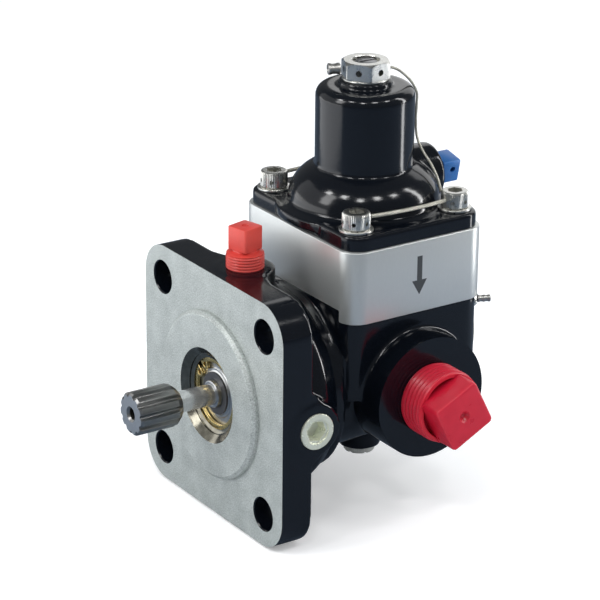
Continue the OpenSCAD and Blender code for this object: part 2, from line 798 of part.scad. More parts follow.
module stem_nut() {
  color([0.7, 0.7, 0.72]) translate([0, valve_y, spring_foot]) difference() {
    hex_bar(8, 3.4);
    translate([0, 0, -1]) cylinder(r = stem_r + 0.02, h = 6);
  }
}

module relief_spring() {
  color([0.5, 0.52, 0.55]) translate([0, valve_y, 0])
    coil(10.2, 1.25, spring_foot + 0.05, seat_plate - 0.05, 5.5, 12);
}

module spring_seat() {
  color([0.7, 0.7, 0.72]) translate([0, valve_y, seat_plate]) difference() {
    union() {
      cylinder(r = 12.8, h = seat_plate_t);
      translate([0, 0, -5]) cylinder(r = 7, h = 5.1);
    }
    translate([0, 0, -6]) cylinder(r = adjust_r + run, h = 12);
  }
}

module adjusting_screw() {
  head = cap_top - cap_recess - 2.9;
  color([0.5, 0.5, 0.5]) difference() {
    union() {
      along_z(adjust_r, adjust_end, head + 0.1, 0, valve_y);
      along_z(adjust_head_r, head, cap_top - 0.5, 0, valve_y);
      along_z(5.5, adjust_collar, adjust_collar + adjust_collar_t, 0, valve_y);
    }
    translate([-0.6, valve_y - 5, cap_top - 2.2]) cube([1.2, 10, 4]);
  }
}

module hex_cap() {
  turn = 37.6;
  color([0.72, 0.72, 0.71]) translate([0, valve_y, 0]) difference() {
    union() {
      intersection() {
        translate([0, 0, cap_face]) rotate(turn) hex_bar(cap_af, cap_h);
        union() {
          translate([0, 0, cap_face]) cylinder(r = cap_af / 2 + 1.4, h = cap_h - 1);
          translate([0, 0, cap_top - 1]) cylinder(r1 = cap_af / 2 + 1.4, r2 = cap_af / 2 - 0.3, h = 1);
        }
      }
      along_z(cap_shank_r, cap_shank, cap_face + 0.1);
    }
    along_z(adjust_r + run, cap_shank - 1, cap_top);
    along_z(adjust_head_r + run, cap_top - cap_recess - 2.95, cap_top + 1);
    along_z(cap_recess_r, cap_top - cap_recess, cap_top + 1);
    for (i = [0 : 2]) rotate(turn + 30 + i * 60)
      translate([-10, 0, cap_face + 2.9]) rotate([0, 90, 0]) cap_wire_hole();
  }
}

module cap_wire_hole() {
  cylinder(r = 1.2, h = 5.2);
  translate([0, 0, 14.8]) cylinder(r = 1.2, h = 5.2);
}

module cap_washer() {
  color([0.6, 0.6, 0.6]) translate([0, valve_y, cap_bottom]) ring(8.6, cap_shank_r + fit, cap_washer_t);
}

module cover_screws() {
  color([0.68, 0.68, 0.69]) for (s = cover_screws_at)
    translate([s[0], s[1], cover_top + washer_t])
      cap_screw(screw_head_r, screw_head, 3, cover_top + washer_t - screw_end, 4.8);
}

module cover_washers() {
  color([0.72, 0.72, 0.73]) for (s = cover_screws_at)
    translate([s[0], s[1], cover_top]) ring(6.2, 3.15, washer_t);
}

// ---- safety cables ----

module front_cable() {
  color([0.75, 0.75, 0.72]) tube(smooth_route(front_route, 4), cable_r);
}

module rear_cable() {
  color([0.75, 0.75, 0.72]) tube(smooth_route(rear_route, 4), cable_r);
}

module cap_cable() {
  color([0.4, 0.4, 0.4]) tube(smooth_route(cap_route, 4), 0.5);
}

module bolt_cable() {
  color([0.6, 0.6, 0.6]) tube(smooth_route(bolt_route, 4), 0.6);
}

module cable_ferrules() {
  color([0.25, 0.25, 0.26]) {
    translate([-3.2, valve_y - 8.8, 111.2]) rotate([0, 90, 250]) cylinder(r = 2.1, h = 4.6);
    translate([31.6, 92.9, 27.6]) rotate([-90, 0, -25]) cylinder(r = ferrule_r, h = 5);
  }
}

mounting_flange();
pump_body();
body_seal();
rear_cover();
rear_cover_seal();
through_bolts();
bolt_washers();
dowel_pins();
front_bearing_block();
rear_bearing_block();
bearing_bushes();
drive_gear();
driven_gear();
quill_shaft();
quill_stop_ring();
seal_case();
seal_face();
seal_spring();
seal_collar();
retaining_ring();
drain_plug();
inlet_plug();
outlet_plug();
vent_plug();
side_plug();
side_plug_seal();
lock_screw();
block_gasket();
valve_block();
valve_seat();
relief_valve();
valve_guide();
diaphragm();
lower_plate();
upper_plate();
stem_nut();
relief_spring();
spring_seat();
adjusting_screw();
hex_cap();
cap_washer();
valve_cover();
cover_screws();
cover_washers();
front_cable();
rear_cable();
cap_cable();
bolt_cable();
cable_ferrules();
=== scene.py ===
# %% [markdown]
# # A shaft-driven hydraulic pump with a relief valve head
#
# This lesson dresses a finished CAD model. The CAD part fixes every size and every joint, so each
# step here looks at one piece of the pump, asks how the real one was made, and makes it the same way:
# castings are fused and softened before they are machined, turned pieces are spun from an outline,
# and everything else is extruded, cut and bevelled.
#
# The frame comes first. Its box is kept, so that the last cell can show that nothing grew.

# %% Load the frame
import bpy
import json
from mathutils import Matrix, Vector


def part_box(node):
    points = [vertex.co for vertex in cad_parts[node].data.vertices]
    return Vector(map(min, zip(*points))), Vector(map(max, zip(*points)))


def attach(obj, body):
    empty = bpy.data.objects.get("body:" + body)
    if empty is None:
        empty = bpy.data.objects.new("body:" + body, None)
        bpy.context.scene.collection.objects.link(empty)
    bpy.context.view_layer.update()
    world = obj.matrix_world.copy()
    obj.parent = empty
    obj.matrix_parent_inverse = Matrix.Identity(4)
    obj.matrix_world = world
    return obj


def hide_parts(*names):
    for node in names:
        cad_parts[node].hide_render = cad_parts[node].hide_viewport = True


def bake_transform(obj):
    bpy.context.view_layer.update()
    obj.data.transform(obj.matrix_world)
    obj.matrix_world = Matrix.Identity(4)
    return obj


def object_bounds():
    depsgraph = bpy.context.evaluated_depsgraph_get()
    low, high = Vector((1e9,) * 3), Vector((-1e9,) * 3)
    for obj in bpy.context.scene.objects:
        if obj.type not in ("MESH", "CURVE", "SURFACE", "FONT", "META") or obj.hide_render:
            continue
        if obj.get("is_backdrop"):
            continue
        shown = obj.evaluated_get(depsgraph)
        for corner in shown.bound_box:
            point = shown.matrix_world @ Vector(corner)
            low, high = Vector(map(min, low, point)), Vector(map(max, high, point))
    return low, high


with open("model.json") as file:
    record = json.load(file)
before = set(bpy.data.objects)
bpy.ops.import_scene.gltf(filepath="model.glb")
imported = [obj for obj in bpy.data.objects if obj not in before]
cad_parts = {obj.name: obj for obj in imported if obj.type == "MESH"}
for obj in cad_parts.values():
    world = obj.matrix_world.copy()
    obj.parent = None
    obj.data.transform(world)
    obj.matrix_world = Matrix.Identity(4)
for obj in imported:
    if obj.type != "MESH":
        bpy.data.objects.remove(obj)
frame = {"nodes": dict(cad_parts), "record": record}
cad_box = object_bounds()
print("CAD box in metres:", [tuple(round(v, 4) for v in corner) for corner in cad_box])

# %% Tools and units
import json
import math

import bmesh
import bpy
from mathutils import Matrix, Vector

MM = 0.001
TURN = 2 * math.pi
scene = bpy.context.scene
bodies = frame["record"]["behaviour"]["bodies"]
body_of_node = {node: body for body, nodes in bodies.items() for node in nodes}
slot_of_node = {part["node"]: part["material_slot"] for part in frame["record"]["subparts"]}


# %% [markdown]
# ## Where things are
#
# Pieces are shaped in millimetres, because a maker thinks in them, and scaled to metres at the end.
# The places below are read from the frame's own boxes, so a changed CAD model moves them along.

# %% Places read from the frame
def span(node):
    """Lowest and highest corner of a CAD node, in millimetres."""
    low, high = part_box(node)
    return low / MM, high / MM


flange_low, flange_high = span("mounting_flange")
block_low, block_high = span("valve_block")
cover_high = span("valve_cover")[1]
body_low, body_high = span("pump_body")
rear_low, rear_high = span("rear_cover")
valve_y = (block_low.y + block_high.y) / 2
flange_half = -flange_low.x
drain_face = flange_high.z
side_face = flange_high.x
print("valve line at Y", round(valve_y, 2), "mm, flange", round(2 * flange_half, 1), "mm square")


# %% [markdown]
# ## Helpers for shaping
#
# A bmesh holds the shape while it is worked on. `turned` is the lathe, `rod` the round bar and
# `rounded_plate` the flat stock. `eased` rounds the corners of an outline with true arcs before it is
# spun, which keeps a turned edge perfectly even.

# %% Outlines and turned shapes
LEG_SHARE = 0.49                           # most of a straight stretch that one arc may use


def eased(points, radii, steps=6):
    """The outline with an arc of the given radius at each of its inner corners."""
    line = []
    for i, (point, radius) in enumerate(zip(points, radii)):
        here = Vector(point)
        if radius <= 0 or i in (0, len(points) - 1):
            line.append(here)
            continue
        back = Vector(points[i - 1]) - here
        ahead = Vector(points[i + 1]) - here
        half = back.angle(ahead) / 2
        reach = min(radius / math.tan(half), back.length * LEG_SHARE, ahead.length * LEG_SHARE)
        true_radius = reach * math.tan(half)
        inward = (back.normalized() + ahead.normalized()).normalized()
        middle = here + inward * true_radius / math.sin(half)
        first = (here + back.normalized() * reach - middle).normalized()
        last = (here + ahead.normalized() * reach - middle).normalized()
        line.extend(middle + first.slerp(last, k / steps) * true_radius for k in range(steps + 1))
    return line


def aim(start, direction):
    """Matrix that stands a shape made along +Z at start, pointing in direction."""
    turn = Vector(direction).to_track_quat("Z", "Y").to_matrix().to_4x4()
    return Matrix.Translation(Vector(start)) @ turn


ALONG_X = (1, 0, 0)
ALONG_Y = (0, 1, 0)
ALONG_Z = (0, 0, 1)


def turned(bm, outline, start=(0, 0, 0), direction=ALONG_Z, sides=96, closed=False):
    """Spins an outline of (radius, height) points into a solid of revolution."""
    before = set(bm.verts)
    points = [bm.verts.new((p[0], 0, p[1])) for p in outline]
    edges = [bm.edges.new(pair) for pair in zip(points, points[1:])]
    if closed:
        edges.append(bm.edges.new((points[-1], points[0])))
    bmesh.ops.spin(bm, geom=points + edges, cent=(0, 0, 0), axis=(0, 0, 1), dvec=(0, 0, 0),
                   angle=TURN, steps=sides, use_merge=True, use_duplicate=False)
    made = [v for v in bm.verts if v not in before]
    bmesh.ops.transform(bm, matrix=aim(start, direction), verts=made)
    return made


def rod(bm, radius, start, direction, length, sides=64):
    """Round bar from start, along direction."""
    middle = aim(start, direction) @ Matrix.Translation((0, 0, length / 2))
    bmesh.ops.create_cone(bm, cap_ends=True, cap_tris=False, segments=sides, radius1=radius,
                          radius2=radius, depth=length, matrix=middle)


def rounded_plate(bm, width, depth, corner, thickness, matrix, edge=0.0, steps=10, both=False):
    """Plate with rounded corners, from z = 0 up, its top rim eased, and both rims if asked."""
    before = set(bm.verts)
    corners = [bm.verts.new((x * width / 2, y * depth / 2, 0))
               for x, y in ((-1, -1), (1, -1), (1, 1), (-1, 1))]
    bm.faces.new(corners)
    bmesh.ops.bevel(bm, geom=corners, offset=corner, offset_type="OFFSET", affect="VERTICES",
                    segments=steps, profile=0.5, material=-1)
    base = next(f for f in bm.faces if f.verts[0] not in before)
    grown = bmesh.ops.extrude_face_region(bm, geom=[base])["geom"]
    top = [v for v in grown if isinstance(v, bmesh.types.BMVert)]
    bmesh.ops.translate(bm, vec=(0, 0, thickness), verts=top)
    if edge:
        heights = (0, thickness) if both else (thickness,)
        rim = [e for e in bm.edges if e.verts[0] not in before
               and any(all(abs(v.co.z - h) < 1e-6 for v in e.verts) for h in heights)]
        bmesh.ops.bevel(bm, geom=rim, offset=edge, offset_type="OFFSET", affect="EDGES",
                        segments=3, profile=0.5, material=-1)
    bmesh.ops.transform(bm, matrix=matrix, verts=[v for v in bm.verts if v not in before])


# %% [markdown]
# ## Helpers for finishing a piece
#
# A shape leaves its bmesh as an object. Booleans stand for milling and drilling, `cast_skin` stands
# for the foundry: a voxel remesh fuses overlapping lumps into one skin, and a few rounds of smoothing
# leave the soft fillets that molten metal leaves. `face_off` then takes a flat, crisp face, the way a
# mill does.

# %% From bmesh to object, and machining
def shown_as(name, data):
    """New object in the scene that shows the given data."""
    made = bpy.data.objects.new(name, data)
    scene.collection.objects.link(made)
    return made


def mesh_object(name, bm):
    """Object from a bmesh, which is used up."""
    mesh = bpy.data.meshes.new(name)
    bm.to_mesh(mesh)
    bm.free()
    return shown_as(name, mesh)


def shape(name, bm):
    """Object in millimetres from a bmesh, with its faces turned outward."""
    bmesh.ops.remove_doubles(bm, verts=bm.verts, dist=1e-4)
    bmesh.ops.recalc_face_normals(bm, faces=bm.faces)
    return mesh_object(name, bm)


def settle(obj):
    """Makes what the modifiers show the object's own mesh."""
    graph = bpy.context.evaluated_depsgraph_get()
    mesh = bpy.data.meshes.new_from_object(obj.evaluated_get(graph), preserve_all_data_layers=True,
                                           depsgraph=graph)
    obj.modifiers.clear()
    obj.data = mesh
    return obj


def machine(work, tool, operation="DIFFERENCE", overlapping=False):
    """Cuts, adds or keeps the tool's shape in the work, and uses the tool up."""
    step = work.modifiers.new("machine", "BOOLEAN")
    step.operation = operation
    step.solver = "EXACT"
    step.use_self = overlapping
    step.object = tool
    settle(work)
    bpy.data.objects.remove(tool)
    return work


def cast_skin(obj, grain, rounds):
    """Fuses overlapping lumps into one casting and softens its corners."""
    step = obj.modifiers.new("skin", "REMESH")
    step.mode = "VOXEL"
    step.voxel_size = grain
    step.adaptivity = 0
    settle(obj)
    bm = bmesh.new()
    bm.from_mesh(obj.data)
    for _ in range(rounds):
        bmesh.ops.smooth_vert(bm, verts=bm.verts, factor=0.5, use_axis_x=True, use_axis_y=True,
                              use_axis_z=True)
    bm.to_mesh(obj.data)
    bm.free()
    return obj


def face_off(obj, point, outward):
    """Mills everything beyond a plane away and leaves a flat face there."""
    bm = bmesh.new()
    bm.from_mesh(obj.data)
    cut = bmesh.ops.bisect_plane(bm, geom=bm.verts[:] + bm.edges[:] + bm.faces[:], dist=1e-5,
                                 plane_co=point, plane_no=outward, clear_outer=True)
    rim = [e for e in cut["geom_cut"] if isinstance(e, bmesh.types.BMEdge)]
    bmesh.ops.holes_fill(bm, edges=rim, sides=0)
    bm.to_mesh(obj.data)
    bm.free()
    return obj


def bevelled(obj, width, segments=2, angle=32):
    """Breaks the sharp edges, as a file or a tumbler does."""
    step = obj.modifiers.new("edges", "BEVEL")
    step.width = width
    step.segments = segments
    step.profile = 0.5
    step.limit_method = "ANGLE"
    step.angle_limit = math.radians(angle)
    step.use_clamp_overlap = True
    step.harden_normals = False
    return settle(obj)


def install(obj, material, *nodes, sharp=34, ride=None):
    """Scales a finished shape to metres and puts it in place of its CAD nodes."""
    obj.data.transform(Matrix.Scale(MM, 4))
    obj.data.polygons.foreach_set("use_smooth", [True] * len(obj.data.polygons))
    obj.data.set_sharp_from_angle(angle=math.radians(sharp))
    if not obj.data.materials:
        obj.data.materials.append(material)
    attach(obj, ride or body_of_node[nodes[0]])
    if nodes:
        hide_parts(*nodes)
    return obj


def copied(name, node):
    """Merged copy of a CAD node's mesh, in millimetres, with its flat faces whole again."""
    bm = bmesh.new()
    bm.from_mesh(frame["nodes"][node].data)
    bmesh.ops.scale(bm, vec=(1 / MM,) * 3, verts=bm.verts)
    bmesh.ops.remove_doubles(bm, verts=bm.verts, dist=1e-3)
    bmesh.ops.dissolve_degenerate(bm, dist=1e-3, edges=bm.edges)
    bmesh.ops.dissolve_limit(bm, angle_limit=math.radians(0.6), verts=bm.verts, edges=bm.edges)
    return mesh_object(name, bm)


# %% [markdown]
# ## Finishes
#
# Every real surface varies a little: enamel has orange peel, a milled face has fine specks, steel has
# the lines of the tool. One shader group makes that variation from noise on Object coordinates, and
# each finish places it with its own scale and strength. A second group paints highlights: it lightens
# the colour on sharp convex edges, where a rim catches the light. The shader itself stays in the material.

# %% Shader groups
GREY = (0.5, 0.5, 0.5, 1)
MIX_FIRST = 6                              # the colour sockets of a Mix node
MIX_SECOND = 7
MIX_RESULT = 2
BROAD_SHARE = 0.3                          # how much of the variation is in broad clouds
BROAD_SCALE = 0.07
# Pointiness range over which the painted edge highlight fades in.
HIGHLIGHT_FROM = 0.52                           # pointiness where an edge starts to show, and is full
HIGHLIGHT_TO = 0.62


def group_sockets(group, way, *rows):
    """Adds a socket for each (label, default); a default of one, three or four numbers sets its kind."""
    kinds = {1: "NodeSocketFloat", 3: "NodeSocketVector", 4: "NodeSocketColor"}
    for label, value in rows:
        count = len(value) if isinstance(value, tuple) else 1
        made = group.interface.new_socket(name=label, in_out=way, socket_type=kinds[count])
        made.default_value = value


def node_in(tree, kind, **settings):
    """New node with its settings."""
    made = tree.nodes.new(kind)
    for key, value in settings.items():
        setattr(made, key, value)
    return made


def variation_group():
    """Colour, roughness and height that change over a surface."""
    group = bpy.data.node_groups.new("surface_variation", "ShaderNodeTree")
    group_sockets(group, "INPUT", ("Vector", (0.0, 0.0, 0.0)), ("Scale", 300.0), ("Colour", GREY),
                  ("Tone", 0.1), ("Roughness", 0.4), ("Swing", 0.1))
    group_sockets(group, "OUTPUT", ("Colour", GREY), ("Roughness", 0.0), ("Height", 0.0))
    given = node_in(group, "NodeGroupInput")
    result = node_in(group, "NodeGroupOutput")
    link = group.links.new
    fine = node_in(group, "ShaderNodeTexNoise")
    fine.inputs["Detail"].default_value = 4
    broad = node_in(group, "ShaderNodeTexNoise")
    broad.inputs["Detail"].default_value = 2
    slow = node_in(group, "ShaderNodeMath", operation="MULTIPLY")
    slow.inputs[1].default_value = BROAD_SCALE
    for noise in (fine, broad):
        link(given.outputs["Vector"], noise.inputs["Vector"])
    link(given.outputs["Scale"], fine.inputs["Scale"])
    link(given.outputs["Scale"], slow.inputs[0])
    link(slow.outputs[0], broad.inputs["Scale"])
    both = node_in(group, "ShaderNodeMath", operation="MULTIPLY_ADD")
    both.inputs[1].default_value = BROAD_SHARE
    link(broad.outputs["Fac"], both.inputs[0])
    link(fine.outputs["Fac"], both.inputs[2])
    centred = node_in(group, "ShaderNodeMath", operation="SUBTRACT")
    centred.inputs[1].default_value = 0.5 + 0.5 * BROAD_SHARE
    link(both.outputs[0], centred.inputs[0])
    shade = node_in(group, "ShaderNodeMath", operation="MULTIPLY_ADD")
    shade.inputs[2].default_value = 1.0
    link(centred.outputs[0], shade.inputs[0])
    link(given.outputs["Tone"], shade.inputs[1])
    tinted = node_in(group, "ShaderNodeVectorMath", operation="SCALE")
    link(given.outputs["Colour"], tinted.inputs[0])
    link(shade.outputs[0], tinted.inputs["Scale"])
    rough = node_in(group, "ShaderNodeMath", operation="MULTIPLY_ADD", use_clamp=True)
    link(centred.outputs[0], rough.inputs[0])
    link(given.outputs["Swing"], rough.inputs[1])
    link(given.outputs["Roughness"], rough.inputs[2])
    link(tinted.outputs[0], result.inputs["Colour"])
    link(rough.outputs[0], result.inputs["Roughness"])
    link(fine.outputs["Fac"], result.inputs["Height"])
    return group


def edge_highlight_group():
    """Painted highlight: blends towards a lighter colour on sharp convex edges."""
    group = bpy.data.node_groups.new("painted_edge_highlights", "ShaderNodeTree")
    group_sockets(group, "INPUT", ("Colour", GREY), ("Highlight Colour", (0.8, 0.8, 0.8, 1)), ("Amount", 0.5))
    group_sockets(group, "OUTPUT", ("Colour", GREY))
    given = node_in(group, "NodeGroupInput")
    result = node_in(group, "NodeGroupOutput")
    link = group.links.new
    place = node_in(group, "ShaderNodeNewGeometry")
    sharp = node_in(group, "ShaderNodeMapRange")
    sharp.inputs["From Min"].default_value = HIGHLIGHT_FROM
    sharp.inputs["From Max"].default_value = HIGHLIGHT_TO
    link(place.outputs["Pointiness"], sharp.inputs["Value"])
    share = node_in(group, "ShaderNodeMath", operation="MULTIPLY", use_clamp=True)
    link(sharp.outputs[0], share.inputs[0])
    link(given.outputs["Amount"], share.inputs[1])
    blend = node_in(group, "ShaderNodeMix", data_type="RGBA")
    link(share.outputs[0], blend.inputs["Factor"])
    link(given.outputs["Colour"], blend.inputs[MIX_FIRST])
    link(given.outputs["Highlight Colour"], blend.inputs[MIX_SECOND])
    link(blend.outputs[MIX_RESULT], result.inputs["Colour"])
    return group


VARIATION = variation_group()
EDGES = edge_highlight_group()
print("groups:", [g.name for g in (VARIATION, EDGES)])


# %% [markdown]
# ## One recipe for a finish
#
# `finish` builds a material from a colour, a roughness and how both vary. `stretch` draws the noise
# out into brush or lathe lines, and `rings` adds the fine circles that a turning tool leaves round an
# axis. Values that are the same all over are set on the shader's own sockets.

# %% The finish recipe
WAVES_PER_METRE = 20                       # rings that a Wave texture of scale 1 draws in a metre


def finish(name, colour, metallic=0.0, roughness=0.4, swing=0.1, scale=300.0, tone=0.12, relief=0.1,
           depth=0.05, stretch=(1, 1, 1), rings=None, edge=None, highlight_amount=0.5, **sockets):
    """Material whose noise features are about 1000 / scale millimetres across."""
    made = bpy.data.materials.new(name)
    made.use_nodes = True
    tree = made.node_tree
    link = tree.links.new
    shader = tree.nodes["Principled BSDF"]
    shader.inputs["Metallic"].default_value = metallic
    for label, value in sockets.items():
        shader.inputs[label.replace("_", " ").title().replace("Ior", "IOR")].default_value = value
    where = node_in(tree, "ShaderNodeTexCoord")
    placed = node_in(tree, "ShaderNodeMapping")
    placed.inputs["Scale"].default_value = stretch
    link(where.outputs["Object"], placed.inputs["Vector"])
    vary = node_in(tree, "ShaderNodeGroup")
    vary.node_tree = VARIATION
    for label, value in (("Scale", scale), ("Colour", (*colour, 1)), ("Tone", tone),
                         ("Roughness", roughness), ("Swing", swing)):
        vary.inputs[label].default_value = value
    link(placed.outputs[0], vary.inputs["Vector"])
    shown = vary.outputs["Colour"]
    height = vary.outputs["Height"]
    # An edge colour paints a highlight onto sharp convex edges.
    if edge:
        lit = node_in(tree, "ShaderNodeGroup")
        lit.node_tree = EDGES
        lit.inputs["Highlight Colour"].default_value = (*edge, 1)
        lit.inputs["Amount"].default_value = highlight_amount
        link(shown, lit.inputs["Colour"])
        shown = lit.outputs["Colour"]
    if rings:
        axis, centre, pitch = rings
        centred = node_in(tree, "ShaderNodeMapping")
        centred.inputs["Location"].default_value = tuple(-c * MM for c in centre)
        link(where.outputs["Object"], centred.inputs["Vector"])
        wave = node_in(tree, "ShaderNodeTexWave", wave_type="RINGS", rings_direction=axis)
        wave.inputs["Scale"].default_value = 1 / (pitch * MM) / WAVES_PER_METRE
        wave.inputs["Distortion"].default_value = 0.6
        link(centred.outputs[0], wave.inputs["Vector"])
        summed = node_in(tree, "ShaderNodeMath", operation="ADD")
        link(height, summed.inputs[0])
        link(wave.outputs["Fac"], summed.inputs[1])
        height = summed.outputs[0]
    bump = node_in(tree, "ShaderNodeBump")
    bump.inputs["Strength"].default_value = relief
    bump.inputs["Distance"].default_value = depth * MM
    link(height, bump.inputs["Height"])
    link(shown, shader.inputs["Base Color"])
    link(vary.outputs["Roughness"], shader.inputs["Roughness"])
    link(bump.outputs[0], shader.inputs["Normal"])
    return made


# %% [markdown]
# ## The finishes of this pump
#
# Castings wear gloss black enamel over machined metal; the mounting face and the valve block stay
# bare. Plugs are dyed polyethylene, hardware is passivated or plated steel.

# %% Finishes for every material slot
# The edge colours of the screw steel and the plastic finishes are painted highlights on sharp edges.
ENAMEL = finish("black_enamel", (0.0024, 0.0036, 0.0062), roughness=0.14, swing=0.06, scale=620,
                tone=0.3, relief=0.2, depth=0.06)
MACHINED = finish("machined_face", (0.43, 0.46, 0.445), metallic=0.4, roughness=0.46, swing=0.15,
                  scale=2000, tone=1.7, relief=0.5, depth=0.035)
# Bored metal: its rings are real tool marks, but its colour is darkened to paint the shade inside the bore
# and warmed to paint the gold ring's reflection.
BORED_WITH_PAINTED_SHADE = finish("bored_metal_with_painted_shade", (0.20, 0.19, 0.155), metallic=1.0, roughness=0.16, swing=0.2, scale=420,
               tone=1.1, relief=0.5, depth=0.04, rings=("Y", (0, 0, 0), 0.5))
FINISH = {
    "flange_casting": ENAMEL,
    "black_enamel": ENAMEL,
    "satin_block": finish("satin_block", (0.69, 0.71, 0.695), metallic=0.75, roughness=0.36, swing=0.1,
                          scale=1500, tone=0.07, relief=0.15, depth=0.02, stretch=(1, 1, 0.25)),
    "rubber_seal": finish("rubber_seal", (0.02, 0.02, 0.02), roughness=0.6, scale=800, relief=0.2),
    "screw_steel": finish("screw_steel", (0.64, 0.635, 0.60), metallic=1.0, roughness=0.3, swing=0.25,
                          scale=700, tone=0.35, relief=0.12, depth=0.02, edge=(0.9, 0.9, 0.86)),
    "bearing_bronze": finish("bearing_bronze", (0.50, 0.33, 0.16), metallic=1.0, roughness=0.35,
                             scale=700, tone=0.2, relief=0.2),
    "gear_steel": finish("gear_steel", (0.42, 0.42, 0.43), metallic=1.0, roughness=0.28, scale=600,
                         tone=0.2, relief=0.15, stretch=(1, 0.1, 1)),
    "spline_steel": finish("spline_steel", (0.30, 0.30, 0.295), metallic=1.0, roughness=0.34, swing=0.2,
                           scale=900, tone=0.35, relief=0.35, depth=0.02, stretch=(1, 0.06, 1)),
    "seal_metal": finish("seal_metal", (0.55, 0.56, 0.56), metallic=1.0, roughness=0.33, swing=0.2,
                         scale=900, tone=0.3, relief=0.3, rings=("Y", (0, 0, 0), 0.4)),
    "seal_carbon": finish("seal_carbon", (0.06, 0.06, 0.062), metallic=0.2, roughness=0.3, scale=900,
                          tone=0.2, relief=0.1),
    "gold_plate": finish("gold_plate", (0.72, 0.54, 0.22), metallic=1.0, roughness=0.26, swing=0.15,
                         scale=500, tone=0.35, relief=0.15),
    "red_plastic": finish("red_plastic", (0.47, 0.007, 0.026), roughness=0.3, swing=0.12, scale=260,
                          tone=0.3, relief=0.2, depth=0.1, edge=(0.75, 0.045, 0.07),
                          highlight_amount=0.6, subsurface_weight=0.08, subsurface_scale=0.002),
    "blue_plastic": finish("blue_plastic", (0.008, 0.085, 0.30), roughness=0.36, swing=0.1, scale=300,
                           tone=0.15, relief=0.12, depth=0.06, edge=(0.05, 0.25, 0.6),
                           subsurface_weight=0.15, subsurface_scale=0.002),
    "plug_steel": finish("plug_steel", (0.84, 0.86, 0.72), metallic=0.6, roughness=0.26, swing=0.12,
                         scale=500, tone=0.15, relief=0.08, depth=0.02),
    "valve_steel": finish("valve_steel", (0.30, 0.30, 0.31), metallic=1.0, roughness=0.3, scale=600,
                          tone=0.15, relief=0.1),
    "spring_steel": finish("spring_steel", (0.34, 0.35, 0.37), metallic=1.0, roughness=0.3, scale=900,
                           tone=0.3, relief=0.2),
    "cable_steel": finish("cable_steel", (0.62, 0.60, 0.52), metallic=0.75, roughness=0.34, swing=0.2,
                          scale=1500, tone=0.4, relief=0.2),
    "ferrule_metal": finish("ferrule_metal", (0.60, 0.59, 0.56), metallic=1.0, roughness=0.4,
                            swing=0.2, scale=900, tone=0.35, relief=0.25),
}
WORN_STEEL = finish("worn_steel", (0.62, 0.62, 0.58), metallic=0.45, roughness=0.42, swing=0.2, scale=900,
                    tone=0.5, relief=0.2, depth=0.03)
# The coral plastic's edge colour is a painted highlight on sharp edges.
CORAL = finish("coral_plastic", (0.58, 0.042, 0.032), roughness=0.38, swing=0.12, scale=380, tone=0.3,
               relief=0.25, depth=0.1, edge=(0.80, 0.12, 0.09), highlight_amount=0.6)
for node, skin in frame["nodes"].items():
    skin.data.materials.clear()
    skin.data.materials.append(FINISH[slot_of_node[node]])
print(len(FINISH), "finishes on", len(slot_of_node), "CAD nodes")


# %% [markdown]
# ## Mounting flange
#
# The real flange is one casting: a square plate, a round collar that runs into the pump body, and two
# port bosses with webs. It could be extruded and bevelled edge by edge, but cast fillets run into each
# other, so the lumps are fused into one skin and softened. After that it is machined as the real one
# is: the front is faced flat, which leaves a crisp rim, the pilot stands on it, and the bores are cut.

# %% The cast flange
GRAIN = 0.62                               # size of the foundry's finest detail
FLANGE_T = 12.5
FLANGE_CORNER = 13
COLLAR_R = 38.5
COLLAR_BACK = 30
PORT_Y = 13.8                              # line of the drain and side ports
SIDE_PORT_Z = -0.3
WEB_FROM = 30                              # the webs reach from here to the flange's sides
SPARE = 4                                  # metal left on for facing
FORWARD = (0, -1, 0)
DOWNWARD = (0, 0, -1)
OUTLET_SIDE = (-1, 0, 0)


def prism(bm, outline, matrix, length):
    """Flat outline given length along local Z."""
    face = bm.faces.new([bm.verts.new((x, y, 0)) for x, y in outline])
    made = bmesh.ops.extrude_face_region(bm, geom=[face])["geom"]
    top = [v for v in made if isinstance(v, bmesh.types.BMVert)]
    bmesh.ops.translate(bm, vec=(0, 0, length), verts=top)
    bmesh.ops.transform(bm, matrix=matrix, verts=list({*face.verts, *top}))


def facing_x(x, y=0, z=0):
    """Matrix that turns a flat outline of (y, z) points to face +X, and moves it."""
    return Matrix(((0, 0, 1, x), (1, 0, 0, y), (0, 1, 0, z), (0, 0, 0, 1)))


bm = bmesh.new()
rounded_plate(bm, 2 * flange_half, 2 * flange_half, FLANGE_CORNER, FLANGE_T + SPARE,
              aim((0, -SPARE, 0), ALONG_Y))
turned(bm, [(0, 8), (COLLAR_R, 8), (COLLAR_R, 24), (35, COLLAR_BACK + 0.4), (0, COLLAR_BACK + 0.4)],
       (0, 0, 0), ALONG_Y)
rod(bm, 10.7, (0, PORT_Y, 0), ALONG_Z, drain_face)
rod(bm, 10, (0, PORT_Y, SIDE_PORT_Z), ALONG_X, side_face)
DRAIN_WEB = [(-22, 12), (-18, 13.2), (-14, 14.5), (-10.5, 17.2), (-7.6, 21.3), (0, PORT_Y), (0, 8),
             (-22, 8)]
SIDE_WEB = [(12, -15), (14.6, -12.2), (17.6, -9.4), (20.8, -7.4), (PORT_Y, SIDE_PORT_Z),
            (8, SIDE_PORT_Z), (8, -15)]
for side in (1, -1):
    prism(bm, [(side * x, y) for x, y in DRAIN_WEB], Matrix.Translation((0, 0, WEB_FROM)),
          flange_half - WEB_FROM)
    prism(bm, [(y, side * z) for y, z in SIDE_WEB], facing_x(WEB_FROM), flange_half - WEB_FROM)
flange = cast_skin(shape("mounting_flange_casting", bm), grain=GRAIN, rounds=8)
face_off(flange, (0, 0, 0), FORWARD)
face_off(flange, (0, COLLAR_BACK, 0), ALONG_Y)
print("cast flange:", len(flange.data.polygons), "faces")

# %% [markdown]
# The pilot is turned on the face, with a broad chamfer so that it starts easily in the drive pad. The
# mouth behind it slopes into the seal bore. Studs pass through the four corner holes.

